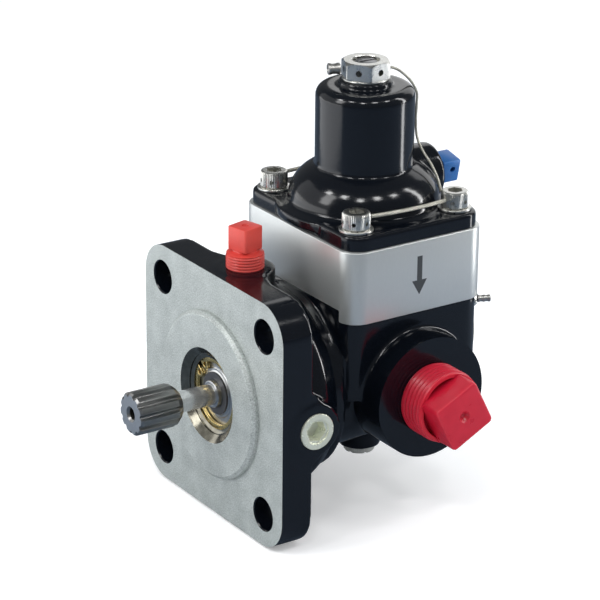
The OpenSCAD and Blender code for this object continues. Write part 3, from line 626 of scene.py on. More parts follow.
# %% Machining the flange
HOLE_R = 6
HOLE_AT = 33.7
BORED_R = 17.8                             # the bored mouth ends at this radius and depth
BORED_DEPTH = 14.2
bm = bmesh.new()
turned(bm, eased([(15, -0.6), (15, 2.5), (29.7, 2.5), (31, 1.3), (31, -0.6)], (0, 0, 0.7, 0.8, 0)),
       (0, 0, 0), FORWARD, sides=160, closed=True)
machine(flange, shape("pilot", bm), "UNION")
bm = bmesh.new()
bore = [(0, -5), (17.6, -5), (17.6, -2.5), (17, -2), (14.3, 0.3), (13.2, 0.6), (13.2, 0.9), (14.1, 0.9),
        (14.1, 2.2), (13.2, 2.2), (13.2, 14), (8, 14), (8, 34), (0, 34)]
turned(bm, bore, (0, 0, 0), ALONG_Y, sides=128)
for x in (-HOLE_AT, HOLE_AT):
    for z in (-HOLE_AT, HOLE_AT):
        turned(bm, [(0, -2), (HOLE_R + 0.5, -2), (HOLE_R + 0.4, 0), (HOLE_R, 0.4), (HOLE_R, 25), (0, 25)],
               (x, 0, z), ALONG_Y, sides=72)
rod(bm, 5.6, (0, PORT_Y, 21), ALONG_Z, 30)
turned(bm, [(0, 21), (5.6, 21), (5.6, side_face - 3), (6.8, side_face - 3), (6.8, 60), (0, 60)],
       (0, PORT_Y, SIDE_PORT_Z), ALONG_X, sides=72)
machine(flange, shape("flange_drills", bm))
for material in (ENAMEL, MACHINED, BORED_WITH_PAINTED_SHADE):
    flange.data.materials.append(material)
# Faces inside the mouth take the bored finish with its painted shade and reflection; the front face takes the
# machined finish.
for face in flange.data.polygons:
    corners = [flange.data.vertices[k].co for k in face.vertices]
    reach = max(math.hypot(co.x, co.z) for co in corners)
    if reach < BORED_R and min(co.y for co in corners) < BORED_DEPTH:
        face.material_index = 2
    elif max(co.y for co in corners) < 0.02:
        face.material_index = 1
install(flange, ENAMEL, "mounting_flange", sharp=30)


# %% [markdown]
# ## Pump body
#
# A body like this is cast round the gear chamber: a flat-sided upper half that carries the valve
# block, a round belly, and a heavy boss for each port. The same foundry method is used. The boss
# faces and the joint faces are milled after the skin is softened, so their rims are sharp.

# %% Cast and machine the pump body
INLET_FACE = body_high.x
OUTLET_FACE = body_low.x
INLET_R = 22.6
BODY_FRONT = 34.4
BODY_BACK = body_high.y
BODY_TOP = body_high.z
BELLY_R = 28.5
BODY_WIDTH = 68
BODY_CORNER = 7
GEAR_CENTRES = 15
POCKET_R = 9.15
POCKET_FRONT = 42
BOLT_HOLE_R = 2.6
SCREW_TAP_R = 3.05
SCREW_HOLE_R = 3.3
BAR_MIDDLE = (BODY_FRONT + rear_high.y) / 2
BAR_DEPTH = rear_high.y - BODY_FRONT
BOLTS = ((-20.5, 24), (20.5, 24), (-15.5, -16.5), (15.5, -16.5))
SCREWS = [(x, valve_y + y) for x in (-26.3, 26.3) for y in (-21.3, 21.3)]
bm = bmesh.new()
rod(bm, 34.2, (0, COLLAR_BACK - 2, 0), ALONG_Y, BODY_FRONT - COLLAR_BACK + 2.4, sides=128)
rod(bm, BELLY_R, (0, BODY_FRONT, 0), ALONG_Y, BODY_BACK + 2 - BODY_FRONT, sides=128)
rounded_plate(bm, BODY_WIDTH, BAR_DEPTH, BODY_CORNER, BODY_TOP + 2,
              Matrix.Translation((0, BAR_MIDDLE, 0)))
rod(bm, INLET_R, (0, valve_y, 0), ALONG_X, INLET_FACE + 2, sides=128)
rod(bm, 19, (0, valve_y, 0), OUTLET_SIDE, 2 - OUTLET_FACE, sides=128)
rod(bm, 8, (0, valve_y, body_low.z), ALONG_Z, 20)
body = cast_skin(shape("pump_body_casting", bm), grain=GRAIN, rounds=9)
for point, outward in (((0, COLLAR_BACK + 0.05, 0), FORWARD), ((0, BODY_BACK, 0), ALONG_Y),
                       ((0, 0, BODY_TOP), ALONG_Z), ((INLET_FACE, 0, 0), ALONG_X),
                       ((OUTLET_FACE, 0, 0), OUTLET_SIDE)):
    face_off(body, point, outward)
bm = bmesh.new()
turned(bm, [(0, 20), (8, 20), (8, POCKET_FRONT), (POCKET_R, POCKET_FRONT), (POCKET_R, 100), (0, 100)],
       (0, 0, 0), ALONG_Y, sides=144)
turned(bm, [(0, 26), (12.6, 26), (12.6, INLET_FACE - 0.6), (13.2, INLET_FACE + 0.2), (13.2, 60), (0, 60)],
       (0, valve_y, 0), ALONG_X)
turned(bm, [(0, 27), (9.8, 27), (9.8, -OUTLET_FACE - 0.6), (10.4, 0.2 - OUTLET_FACE), (10.4, 60), (0, 60)],
       (0, valve_y, 0), OUTLET_SIDE)
rod(bm, SCREW_TAP_R, (0, valve_y, -40), ALONG_Z, 26, sides=32)
for x, z in BOLTS:
    rod(bm, BOLT_HOLE_R, (x, 20, z), ALONG_Y, 80, sides=32)
for x, y in SCREWS:
    rod(bm, SCREW_TAP_R, (x, y, 20), ALONG_Z, 20, sides=32)
machine(body, shape("body_drills", bm))
bm = bmesh.new()
rod(bm, POCKET_R, (0, POCKET_FRONT, GEAR_CENTRES), ALONG_Y, 60, sides=144)
for side in (-1, 1):
    rod(bm, 4.4, (side * 8, valve_y, GEAR_CENTRES / 2), (side, 0, 0), 20, sides=32)
machine(body, shape("body_chamber", bm))
install(body, ENAMEL, "pump_body", sharp=30)


# %% [markdown]
# ## Rear cover
#
# A plain plate closes the gear chamber. It is sand cast to the body's outline and only its inner face
# is milled, so its outer rim stays soft.

# %% Rear cover
bm = bmesh.new()
rod(bm, BELLY_R - 0.2, (0, rear_low.y - 2, 0), ALONG_Y, rear_high.y - rear_low.y + 2, sides=128)
rounded_plate(bm, BODY_WIDTH - 0.6, BAR_DEPTH, BODY_CORNER, rear_high.z,
              Matrix.Translation((0, BAR_MIDDLE, 0)))
rear = cast_skin(shape("rear_cover_casting", bm), grain=0.5, rounds=6)
face_off(rear, (0, rear_low.y + 0.05, 0), FORWARD)
bm = bmesh.new()
for x, z in BOLTS:
    rod(bm, BOLT_HOLE_R, (x, 80, z), ALONG_Y, 20, sides=32)
machine(rear, shape("rear_drills", bm))
install(rear, ENAMEL, "rear_cover", sharp=30)


# %% [markdown]
# ## Valve block
#
# The block is sawn from bar, milled on all sides and brushed satin. An extruded rounded rectangle
# with broken edges is exactly that.

# %% Valve block
BLOCK_CORNER = 7.5
bm = bmesh.new()
width, depth, height = block_high - block_low
rounded_plate(bm, width, depth, BLOCK_CORNER, height, Matrix.Translation((0, valve_y, block_low.z)),
              edge=0.45, steps=14, both=True)
block = shape("valve_block_machined", bm)
bm = bmesh.new()
turned(bm, [(0, 28), (7, 28), (7, 33), (10, 33), (10, 38), (12, 38), (12, 52), (24, 52), (24, 60),
            (0, 60)], (0, valve_y, 0), ALONG_Z)
for x, y in SCREWS:
    rod(bm, SCREW_HOLE_R, (x, y, 20), ALONG_Z, 50, sides=32)
machine(block, shape("block_drills", bm))
install(block, FINISH["satin_block"], "valve_block", sharp=25)


# %% [markdown]
# ## Valve cover
#
# The black cover is a gravity casting: a flat plate, a low dome over the diaphragm, a tall tower for
# the spring and a vent boss at the back. Dome and tower are one turned outline with real fillets. The
# plate and the boss are fused to it and the whole is softened only a little.

# %% Cast and machine the valve cover
PLATE_BOTTOM = 52                          # the skin starts low, and is faced off to the block's top
PLATE_TOP = 62
PLATE_INSET = block_high.x - cover_high.x
DOME_MIDDLE = (13.5, 62)
DOME_R = 14
CAP_BOTTOM = cover_high.z
VENT_Z = 67.5
VENT_END = 93.3
tower = [(0, 58), (32, 58), (32, PLATE_TOP - 0.4), (29.6, PLATE_TOP + 0.2), (27.5, PLATE_TOP + 0.9)]
tower += [(DOME_MIDDLE[0] + DOME_R * math.cos(math.radians(a)),
           DOME_MIDDLE[1] + DOME_R * math.sin(math.radians(a))) for a in (16, 24, 32, 40, 48, 56, 64, 70)]
tower += [(17.8, 75.5), (17.8, 104.8), (10.2, 104.8), (9.6, 104.2), (9.6, CAP_BOTTOM), (0, CAP_BOTTOM)]
softness = [0, 0, 0, 0.6, 1.4] + [0] * 8 + [1.2, 5, 0, 0, 0.7, 0]
bm = bmesh.new()
rounded_plate(bm, 2 * cover_high.x, depth - 2 * PLATE_INSET, BLOCK_CORNER, PLATE_TOP - PLATE_BOTTOM,
              Matrix.Translation((0, valve_y, PLATE_BOTTOM)), edge=1.0)
turned(bm, eased(tower, softness, steps=10), (0, valve_y, 0), ALONG_Z, sides=160)
vent_length = VENT_END - valve_y
turned(bm, eased([(0, 0), (10.5, 0), (10.5, vent_length), (0, vent_length)], (0, 0, 1.2, 0)),
       (0, valve_y, VENT_Z), ALONG_Y)
cover = cast_skin(shape("valve_cover_casting", bm), grain=0.46, rounds=5)
face_off(cover, (0, 0, block_high.z + 0.02), DOWNWARD)
bm = bmesh.new()
turned(bm, [(0, 50), (26.6, 50), (26.6, 57.6), (22, 57.6), (22, 70), (13.5, 70), (13.5, 98), (7.05, 98),
            (7.05, 120), (0, 120)], (0, valve_y, 0), ALONG_Z)
rod(bm, 4.9, (0, VENT_END - 9, VENT_Z), ALONG_Y, 20, sides=48)
for x, y in SCREWS:
    rod(bm, SCREW_HOLE_R, (x, y, 50), ALONG_Z, 20, sides=32)
machine(cover, shape("cover_drills", bm))
install(cover, ENAMEL, "valve_cover", sharp=30)


# %% [markdown]
# ## Quill shaft
#
# The quill is hobbed from round bar: eleven straight teeth with rounded roots, a polished neck and a
# centre drilling in its end. Rings of points are stacked along the shaft, and each ring's radius
# follows the tooth form, so the flutes run out where the bar tapers.

# %% Splined quill shaft
TEETH = 11
SPLINE_R = 7.85
SPLINE_FRONT = span("quill_shaft")[0].y
SPLINE_BACK = SPLINE_FRONT + 18.2
NECK_R = 3.9


def stacked(bm, levels, count, radius_at, matrix=Matrix()):
    """Closed solid from rings of count points; levels are (height, radius, depth of the flutes)."""
    before = set(bm.verts)
    ring = bmesh.ops.create_circle(bm, cap_ends=False, segments=count, radius=1)["verts"]
    rims = []
    for number, level in enumerate(levels):
        if number:
            edges = list({e for v in ring for e in v.link_edges if all(w in ring for w in e.verts)})
            grown = bmesh.ops.extrude_edge_only(bm, edges=edges)["geom"]
            ring = [v for v in grown if isinstance(v, bmesh.types.BMVert)]
        for v in ring:
            turn = math.atan2(v.co.y, v.co.x)
            radius = radius_at(turn, level)
            v.co = (radius * math.cos(turn), radius * math.sin(turn), level[0])
        rims.append(ring)
    for ring in (rims[0], rims[-1]):
        edges = list({e for v in ring for e in v.link_edges if all(w in ring for w in e.verts)})
        bmesh.ops.holes_fill(bm, edges=edges, sides=0)
    bmesh.ops.transform(bm, matrix=matrix, verts=[v for v in bm.verts if v not in before])


def tooth_radius(turn, level):
    """Radius of the spline at an angle: flat tips and rounded roots."""
    phase = ((turn - math.radians(8)) / TURN * TEETH) % 1.0
    off_tip = min(phase, 1 - phase) * 2
    dip = min(1.0, max(0.0, (off_tip - 0.5) / 0.42))
    return level[1] - level[2] * math.sin(dip * math.pi / 2)


bm = bmesh.new()
along = SPLINE_BACK - SPLINE_FRONT
stacked(bm, [(0, SPLINE_R - 0.75, 0.75), (0.7, SPLINE_R, 1.35), (along - 2.6, SPLINE_R, 1.35),
             (along - 2.2, SPLINE_R - 0.25, 1.3), (along, SPLINE_R - 2.1, 0.1)],
        TEETH * 20, tooth_radius,
        Matrix.Translation((0, SPLINE_FRONT, 0)) @ Matrix.Rotation(-TURN / 4, 4, "X"))
quill = shape("quill_shaft_turned", bm)
bm = bmesh.new()
turned(bm, [(0, SPLINE_BACK - 1), (NECK_R, SPLINE_BACK - 1), (NECK_R, 31), (NECK_R - 0.4, 31),
            (NECK_R - 0.4, 32), (NECK_R, 32), (NECK_R, 36), (3.1, 36), (3.1, 77.5), (2.6, 78), (0, 78)],
       (0, 0, 0), ALONG_Y, sides=64)
machine(quill, shape("neck", bm), "UNION")
bm = bmesh.new()
turned(bm, [(0, -1), (2.9, -1), (2.9, 0), (2.1, 0.8), (2.1, 9), (0, 10.2)], (0, SPLINE_FRONT, 0),
       ALONG_Y, sides=48)
machine(quill, shape("centre_drill", bm))
POLISHED = finish("polished_neck", (0.66, 0.67, 0.68), metallic=0.85, roughness=0.17, swing=0.1, scale=900,
                  tone=0.15, relief=0.1, depth=0.01, stretch=(0.1, 1, 0.1))
GROUND = finish("ground_end", (0.55, 0.56, 0.57), metallic=1.0, roughness=0.38, swing=0.15, scale=1500,
                tone=0.25, relief=0.2, depth=0.02)
for material in (FINISH["spline_steel"], POLISHED, GROUND):
    quill.data.materials.append(material)
for face in quill.data.polygons:
    if face.center.y > SPLINE_BACK + 0.01:
        face.material_index = 1
    elif face.center.y < SPLINE_FRONT + 0.01:
        face.material_index = 2
install(quill, POLISHED, "quill_shaft", sharp=32)


# %% [markdown]
# ## Shaft seal and retaining ring
#
# The seal case is a pressed and turned cup held by a sprung ring. The ring is punched from strip,
# so its faces are flat and its edges slightly rounded, and it has a lug with a hole at each end for
# the pliers. Their CAD outlines are right already; a merged copy gets its real edges.

# %% Seal pieces
for node, edge in (("retaining_ring", 0.16), ("seal_collar", 0.25), ("side_plug", 0.3),
                   ("adjusting_screw", 0.15)):
    piece = bevelled(copied(node + "_finished", node), edge, segments=2)
    install(piece, FINISH[slot_of_node[node]], node, sharp=35)
bm = bmesh.new()
case = eased([(5.6, 1.7), (7.6, 1.7), (8.4, 2.1), (9.0, 2.1), (9.4, 2.4), (13.0, 2.4), (13.1, 2.6), (13.1, 8),
              (5.6, 8)], (0, 0.4, 0.3, 0.2, 0.2, 0.3, 0, 0, 0), steps=4)
turned(bm, case, (0, 0, 0), ALONG_Y, sides=128, closed=True)
install(shape("seal_case_turned", bm), FINISH["seal_metal"], "seal_case", sharp=40)


# %% [markdown]
# ## Moulded plugs
#
# Closing plugs are moulded in dyed polyethylene. The threads are really shallow rings, and the square
# head is cored out behind so that the wall stays even, which leaves pockets between the rim and the
# square. Moulded corners are always a little round.

# %% Drain and vent plugs
def threaded(radius, low, high, pitch, depth, inner=0.0):
    """Outline of a shank with rounded thread rings, from low up to high."""
    line = [(inner, low), (radius - depth, low)]
    count = int((high - low) / pitch)
    for k in range(count):
        base = low + (k + 0.5) * (high - low) / count
        half = (high - low) / count / 2
        line += [(radius - depth, base - half * 0.75), (radius - depth * 0.15, base - half * 0.35),
                 (radius, base), (radius - depth * 0.15, base + half * 0.35)]
    return line + [(radius - depth, high)]


def prism_head(bm, across, height, sides, matrix, corner):
    """Square or hexagonal head with rounded corners, from z = 0 up."""
    before = set(bm.verts)
    radius = across / 2 / math.cos(math.pi / sides)
    bmesh.ops.create_cone(bm, cap_ends=True, cap_tris=False, segments=sides, radius1=radius,
                          radius2=radius, depth=height, matrix=Matrix.Translation((0, 0, height / 2)))
    new = [v for v in bm.verts if v not in before]
    flat = math.atan2(new[0].co.y, new[0].co.x)
    spin = Matrix.Rotation(math.pi / sides - flat, 4, "Z")
    bmesh.ops.transform(bm, matrix=spin, verts=new)
    upright = [e for e in bm.edges
               if e.verts[0] in new and abs(e.verts[0].co.z - e.verts[1].co.z) > height / 2]
    bmesh.ops.bevel(bm, geom=upright, offset=corner, offset_type="OFFSET", affect="EDGES", segments=3,
                    profile=0.5, material=-1)
    bmesh.ops.transform(bm, matrix=matrix, verts=[v for v in bm.verts if v not in before])


SMALL_SQUARE = 8.9


def turned_round(start, direction, degrees):
    """Matrix like aim, with the piece first turned round its own axis."""
    return aim(start, direction) @ Matrix.Rotation(math.radians(degrees), 4, "Z")


def small_plug(name, start, direction, radius, low, height, face, turn):
    """Moulded plug: ringed shank below a square head with a neck under it."""
    across = SMALL_SQUARE
    foot = turned_round(start, direction, turn)
    bm = bmesh.new()
    line = threaded(radius, low, face, 1.05, 0.45)
    line += [(radius - 0.2, face + 0.4), (across * 0.52, face + 1.3), (across * 0.46, face + 2.6),
             (0, face + 2.6)]
    turned(bm, line, start, direction, sides=72)
    plug = shape(name, bm)
    bm = bmesh.new()
    prism_head(bm, across, height - face - 1.6, 4, foot @ Matrix.Translation((0, 0, face + 1.6)), 0.8)
    machine(plug, bevelled(shape("head", bm), 0.45, segments=2), "UNION")
    return plug


drain_low, drain_high = span("drain_plug")
tip = drain_high.z
drain = small_plug("drain_plug_moulded", (0, PORT_Y, 0), ALONG_Z, 6.9, drain_low.z, tip,
                   drain_face + 4.8, turn=14)
bm = bmesh.new()
turned(bm, [(0, tip - 0.7), (1.1, tip - 0.55), (1.8, tip + 1), (0, tip + 1)], (0, PORT_Y, 0), ALONG_Z,
       sides=32)
machine(drain, shape("drain_dimple", bm))
install(drain, CORAL, "drain_plug", sharp=40)
vent_low, vent_high = span("vent_plug")
vent = small_plug("vent_plug_moulded", (0, 0, VENT_Z), ALONG_Y, 5.0, vent_low.y, vent_high.y,
                  VENT_END + 1.2, turn=12)
bm = bmesh.new()
rod(bm, 1.1, (-10, (VENT_END + 2.8 + vent_high.y) / 2 + 0.6, VENT_Z), ALONG_X, 20, sides=32)
machine(vent, shape("vent_cross_hole", bm))
install(vent, FINISH["blue_plastic"], "vent_plug", sharp=40)


# %% [markdown]
# The two port plugs have a larger square. A collar runs round it, and a D-shaped pocket is cored on
# each side between the square and the threaded rim.

# %% Inlet and outlet plugs
PLUG_WALL = 1.3
POCKET_DEPTH = 3.4


def port_plug(name, direction, radius, rim, square, tip, turn, inner_end):
    """Large moulded plug with a cored rim; distances run outwards from the pump's middle plane."""
    start = (0, valve_y, 0)
    foot = turned_round(start, direction, turn)
    bm = bmesh.new()
    floor = rim - POCKET_DEPTH
    wall = PLUG_WALL
    line = threaded(radius, inner_end, rim - 1.2, 1.9, 0.7)
    line += [(radius - 0.3, rim - 0.9), (radius - 0.5, rim), (radius - wall - 0.6, rim),
             (radius - wall - 0.9, rim - 0.5), (radius - wall - 1.2, floor), (0, floor)]
    turned(bm, line, start, direction, sides=128)
    plug = shape(name, bm)
    bm = bmesh.new()
    prism_head(bm, square, tip - floor + 1, 4, foot @ Matrix.Translation((0, 0, floor - 1)), 1.6)
    machine(plug, bevelled(shape("square", bm), 0.7, segments=3), "UNION")
    bm = bmesh.new()
    turned(bm, [(0, tip - 1.6), (0.9, tip - 1.4), (1.5, tip - 0.6), (2.6, tip + 0.4), (0, tip + 0.4)],
           start, direction, sides=40)
    machine(plug, shape("dimple", bm))
    return plug


inlet_low, inlet_high = span("inlet_plug")
inlet = port_plug("inlet_plug_moulded", ALONG_X, radius=13.4, rim=55.6, square=18.8,
                  tip=inlet_high.x, turn=27, inner_end=inlet_low.x)
install(inlet, FINISH["red_plastic"], "inlet_plug", sharp=40)
outlet_low, outlet_high = span("outlet_plug")
outlet = port_plug("outlet_plug_moulded", OUTLET_SIDE, radius=10.6, rim=-outlet_low.x - 7, square=14,
                   tip=-outlet_low.x, turn=20, inner_end=-outlet_high.x)
install(outlet, FINISH["red_plastic"], "outlet_plug", sharp=40)


# %% [markdown]
# ## Cap screws and washers
#
# Socket heads are knurled by a roller, broached with a hexagon and cross-drilled for safety cable.
# One head is made and set wherever such a screw sits.

# %% Screws
KNURLS = 48
WIRE_HOLE_R = 0.75
WIRE_HOLES_TURN = 15


def spokes(turn):
    """Three directions, 60 degrees apart, for holes that go right through a head."""
    for k in range(3):
        a = math.radians(turn + 60 * k)
        yield Vector((math.cos(a), math.sin(a), 0))


def cap_screw(radius, low, height, shank, tip, turn, holes_at):
    """Socket head cap screw standing along local Z: shank from tip up to low, head above it."""
    head = bmesh.new()
    count = 2 * KNURLS
    rings = [(low, radius - 0.35, 0), (low + 0.35, radius, 0.16), (low + height - 0.75, radius, 0.16),
             (low + height - 0.2, radius - 0.3, 0.04), (low + height, radius - 0.75, 0)]
    stacked(head, rings, count, lambda a, level: level[1] - level[2] * (round(a / TURN * count) % 2))
    screw = shape("screw_head", head)
    tool = bmesh.new()
    rod(tool, radius * 0.58, (0, 0, low + height * 0.5), ALONG_Z, height, sides=6)
    machine(screw, shape("hex_key", tool))
    for reach in spokes(turn):
        tool = bmesh.new()
        rod(tool, WIRE_HOLE_R, reach * -8 + Vector((0, 0, low + holes_at)), reach, 16, sides=20)
        machine(screw, shape("wire_drill", tool))
    stem = bmesh.new()
    turned(stem, threaded(shank, tip, low + 0.3, 1.2, 0.3) + [(0, low + 0.3)], sides=40)
    return machine(screw, shape("screw_stem", stem), "UNION")


def set_in(name, piece, places):
    """Copies of a finished piece at each place, as one object."""
    bm = bmesh.new()
    for place in places:
        before = set(bm.verts)
        bm.from_mesh(piece.data)
        bmesh.ops.transform(bm, matrix=place, verts=[v for v in bm.verts if v not in before])
    bpy.data.objects.remove(piece)
    return shape(name, bm)


def washer(bm, foot, inner, outer, thick):
    """Flat washer with broken edges, from local z = 0 up."""
    rim = eased([(inner, 0), (outer, 0), (outer, thick), (inner, thick)], (0, 0.25, 0.25, 0), steps=3)
    made = turned(bm, rim, sides=64, closed=True)
    bmesh.ops.transform(bm, matrix=foot, verts=made)


def washer_set(node, places, seat, inner, outer, thick):
    """One washer at each place, a hair above its seat."""
    bm = bmesh.new()
    for place in places:
        washer(bm, place @ Matrix.Translation((0, 0, seat + 0.02)), inner, outer, thick)
    install(shape(node + "_turned", bm), STEEL, node, sharp=40)


STEEL = FINISH["screw_steel"]
cover_places = [Matrix.Translation((x, y, 0)) for x, y in SCREWS]
bolt_places = [aim((x, 0, z), ALONG_Y) for x, z in BOLTS]
screw = cap_screw(5.0, 63.02, 5.93, 3.0, span("cover_screws")[0].z, WIRE_HOLES_TURN, holes_at=2.4)
install(set_in("cover_screws_knurled", screw, cover_places), STEEL, "cover_screws", sharp=25)
washer_set("cover_washers", cover_places, PLATE_TOP, 3.25, 6.15, 0.93)
bolt = cap_screw(4.15, 94.65, 4.7, 2.4, span("through_bolts")[0].y, WIRE_HOLES_TURN, holes_at=2.0)
install(set_in("through_bolts_knurled", bolt, bolt_places), STEEL, "through_bolts", sharp=25)
washer_set("bolt_washers", bolt_places, rear_high.y, BOLT_HOLE_R, 4.85, 0.7)
lock_low, lock_high = span("lock_screw")
lock = cap_screw(5.85, 0.12 - body_low.z, body_low.z - lock_low.z - 0.15, 2.9, -lock_high.z, turn=10,
                 holes_at=2.6)
install(set_in("lock_screw_knurled", lock, [aim((0, valve_y, 0), DOWNWARD)]), WORN_STEEL, "lock_screw",
        sharp=25)


# %% [markdown]
# ## Hex cap
#
# The cap is turned from hexagon bar. Chamfering the bar in the lathe leaves the curved corner scallops
# that every nut has. A boolean intersection with a turned dome gives the same scallops.

# %% Hex cap and its washer
hex_low, hex_high = span("hex_cap")
HEX_AF = 15.9
HEX_TURN = 7.6
HEX_FROM = CAP_BOTTOM + 0.8
top = hex_high.z
bm = bmesh.new()
prism_head(bm, HEX_AF, top - HEX_FROM, 6, turned_round((0, valve_y, HEX_FROM), ALONG_Z, HEX_TURN),
           corner=0.25)
cap = shape("hex_cap_turned", bm)
bm = bmesh.new()
turned(bm, [(0, CAP_BOTTOM), (8.3, CAP_BOTTOM), (9.2, CAP_BOTTOM + 1.4), (9.2, top - 0.9), (7.9, top),
            (0, top)], (0, valve_y, 0), ALONG_Z, sides=128)
machine(cap, shape("lathe_dome", bm), "INTERSECT")
bm = bmesh.new()
turned(bm, threaded(6.9, hex_low.z, CAP_BOTTOM + 0.9, 1.2, 0.35) + [(0, CAP_BOTTOM + 0.9)],
       (0, valve_y, 0), ALONG_Z, sides=64)
machine(cap, shape("cap_shank", bm), "UNION")
bm = bmesh.new()
turned(bm, [(0, hex_low.z - 1), (3.6, hex_low.z - 1), (3.6, top - 1.6), (4.9, top - 1.6), (4.9, top - 0.3),
            (5.3, top + 0.2), (0, top + 0.2)], (0, valve_y, 0), ALONG_Z, sides=64)
for reach in spokes(HEX_TURN):
    rod(bm, 1.15, Vector((0, valve_y, top - 3.3)) - reach * 12, reach, 24, sides=32)
machine(cap, shape("cap_tool", bm))
install(cap, STEEL, "hex_cap", sharp=30)
cap_washer_low, cap_washer_high = span("cap_washer")
washer_set("cap_washer", [Matrix.Translation((0, valve_y, 0))], cap_washer_low.z, 7.2, 8.55,
           cap_washer_high.z - cap_washer_low.z - 0.04)


# %% [markdown]
# ## Safety cable
#
# The cable is six strands laid round a core. Each strand is its own helix round the cable's path, so
# the lay catches the light as rope does. Crimped ferrules close the ends.

# %% Cables and ferrules
CABLE_R = 0.75
LAY = 7.5                                  # cable radii that a strand takes to go once round
STRANDS = 6
STEP_SHARE = 0.5                           # a strand's points are half a cable radius apart
SIDE_ROUTE = [(27.8, 48.2, 66.6), (28.3, 52, 66.6), (28.7, 58, 66.5), (28.8, 64.2, 66.4),
              (28.7, 70.4, 66.4), (28.3, 76.4, 66.4), (27.8, 80.2, 66.4)]
CABLES = {
    "front_cable": (CABLE_R, SIDE_ROUTE),
    "rear_cable": (CABLE_R, [(-x, y, z) for x, y, z in SIDE_ROUTE]),
    "cap_cable": (0.5, [(3.3, 72.4, 110.7), (5, 74.4, 109.9), (6.4, 76.7, 107.9), (7.5, 79.2, 104.8),
                        (7.6, 81.3, 100.6), (7.3, 81.5, 96), (7, 81.6, 90), (7.6, 81.8, 84.4),
                        (10.4, 82.3, 79.8), (14.8, 82.9, 76), (18.4, 83.4, 71.6), (20.2, 83.8, 67)]),
    "bolt_cable": (0.6, [(17.5, 97.5, -12), (18.5, 98, -8), (21.5, 98.4, 2), (22.5, 98.4, 12),
                         (21.8, 97.6, 19.4)]),
}


def smooth_path(points, steps):
    """Catmull-Rom line through the points, evenly stepped."""
    ends = [Vector(points[0])] + [Vector(p) for p in points] + [Vector(points[-1])]
    line = []
    for a, b, c, d in zip(ends, ends[1:], ends[2:], ends[3:]):
        for k in range(steps):
            t = k / steps
            line.append(0.5 * (2 * b + (c - a) * t + (2 * a - 5 * b + 4 * c - d) * t * t
                               + (3 * b - a - 3 * c + d) * t ** 3))
    return line + [ends[-1]]


def resampled(line, spacing):
    """Points at equal distances along a line."""
    out = [line[0]]
    carried = 0.0
    for a, b in zip(line, line[1:]):
        length = (b - a).length
        while carried + length >= spacing:
            t = (spacing - carried) / length
            a = a.lerp(b, t)
            out.append(a.copy())
            length = (b - a).length
            carried = 0.0
        carried += length
    return out


def laid_cable(name, radius, points):
    """Rope of helical strands; its outer radius stays inside the given one."""
    line = resampled(smooth_path(points, 12), radius * STEP_SHARE)
    strand_r = radius * 0.36
    orbit = radius - strand_r
    curve = bpy.data.curves.new(name, "CURVE")
    curve.dimensions = "3D"
    curve.bevel_depth = strand_r
    curve.bevel_resolution = 1
    curve.use_fill_caps = True
    steep = abs((line[1] - line[0]).normalized().z) >= 0.8
    side = Vector(ALONG_X if steep else ALONG_Z)
    frames = []
    for i, point in enumerate(line):
        ahead = (line[min(i + 1, len(line) - 1)] - line[max(i - 1, 0)]).normalized()
        side = (side - ahead * side.dot(ahead)).normalized()
        frames.append((point, side.copy(), ahead.cross(side)))
    for strand in range(STRANDS + 1):
        spline = curve.splines.new("POLY")
        spline.points.add(len(frames) - 1)
        reach = orbit if strand < STRANDS else 0
        for i, (point, u, w) in enumerate(frames):
            a = TURN * (strand / STRANDS + i * STEP_SHARE / LAY)
            place = point + (u * math.cos(a) + w * math.sin(a)) * reach
            spline.points[i].co = (*place, 1)
    drawn = shown_as(name, curve)
    graph = bpy.context.evaluated_depsgraph_get()
    mesh = bpy.data.meshes.new_from_object(drawn.evaluated_get(graph))
    bpy.data.objects.remove(drawn)
    mesh.materials.clear()
    return shown_as(name, mesh)


for node, (radius, points) in CABLES.items():
    install(laid_cable(node + "_laid", radius, points), FINISH["cable_steel"], node, sharp=60)


def ferrule(bm, start, direction, radius, length, crimps):
    """Crimped sleeve: pressed waists between fuller rings."""
    line = [(0, 0), (radius * 0.7, 0), (radius * 0.93, 0.12), (radius, 0.35)]
    for k in range(crimps):
        at = 0.5 + (length - 1) * (k + 0.5) / crimps
        half = (length - 1) / crimps / 2
        line += [(radius, at - half * 0.7), (radius * 0.9, at - half * 0.4), (radius * 0.9, at + half * 0.4),
                 (radius, at + half * 0.7)]
    line += [(radius, length - 0.35), (radius * 0.93, length - 0.12), (radius * 0.62, length),
             (radius * 0.56, length - 0.5), (0, length - 0.5)]
    turned(bm, line, start, direction, sides=40)


bm = bmesh.new()
ferrule(bm, (-3.2, 55.4, 111.2), Vector((-0.342, -0.940, 0)).normalized(), 2.08, 4.55, 1)
ferrule(bm, (31.6, 92.9, 27.6), Vector((0.423, 0.906, 0)).normalized(), 1.33, 4.95, 2)
install(shape("cable_ferrules_crimped", bm), FINISH["ferrule_metal"], "cable_ferrules", sharp=40)
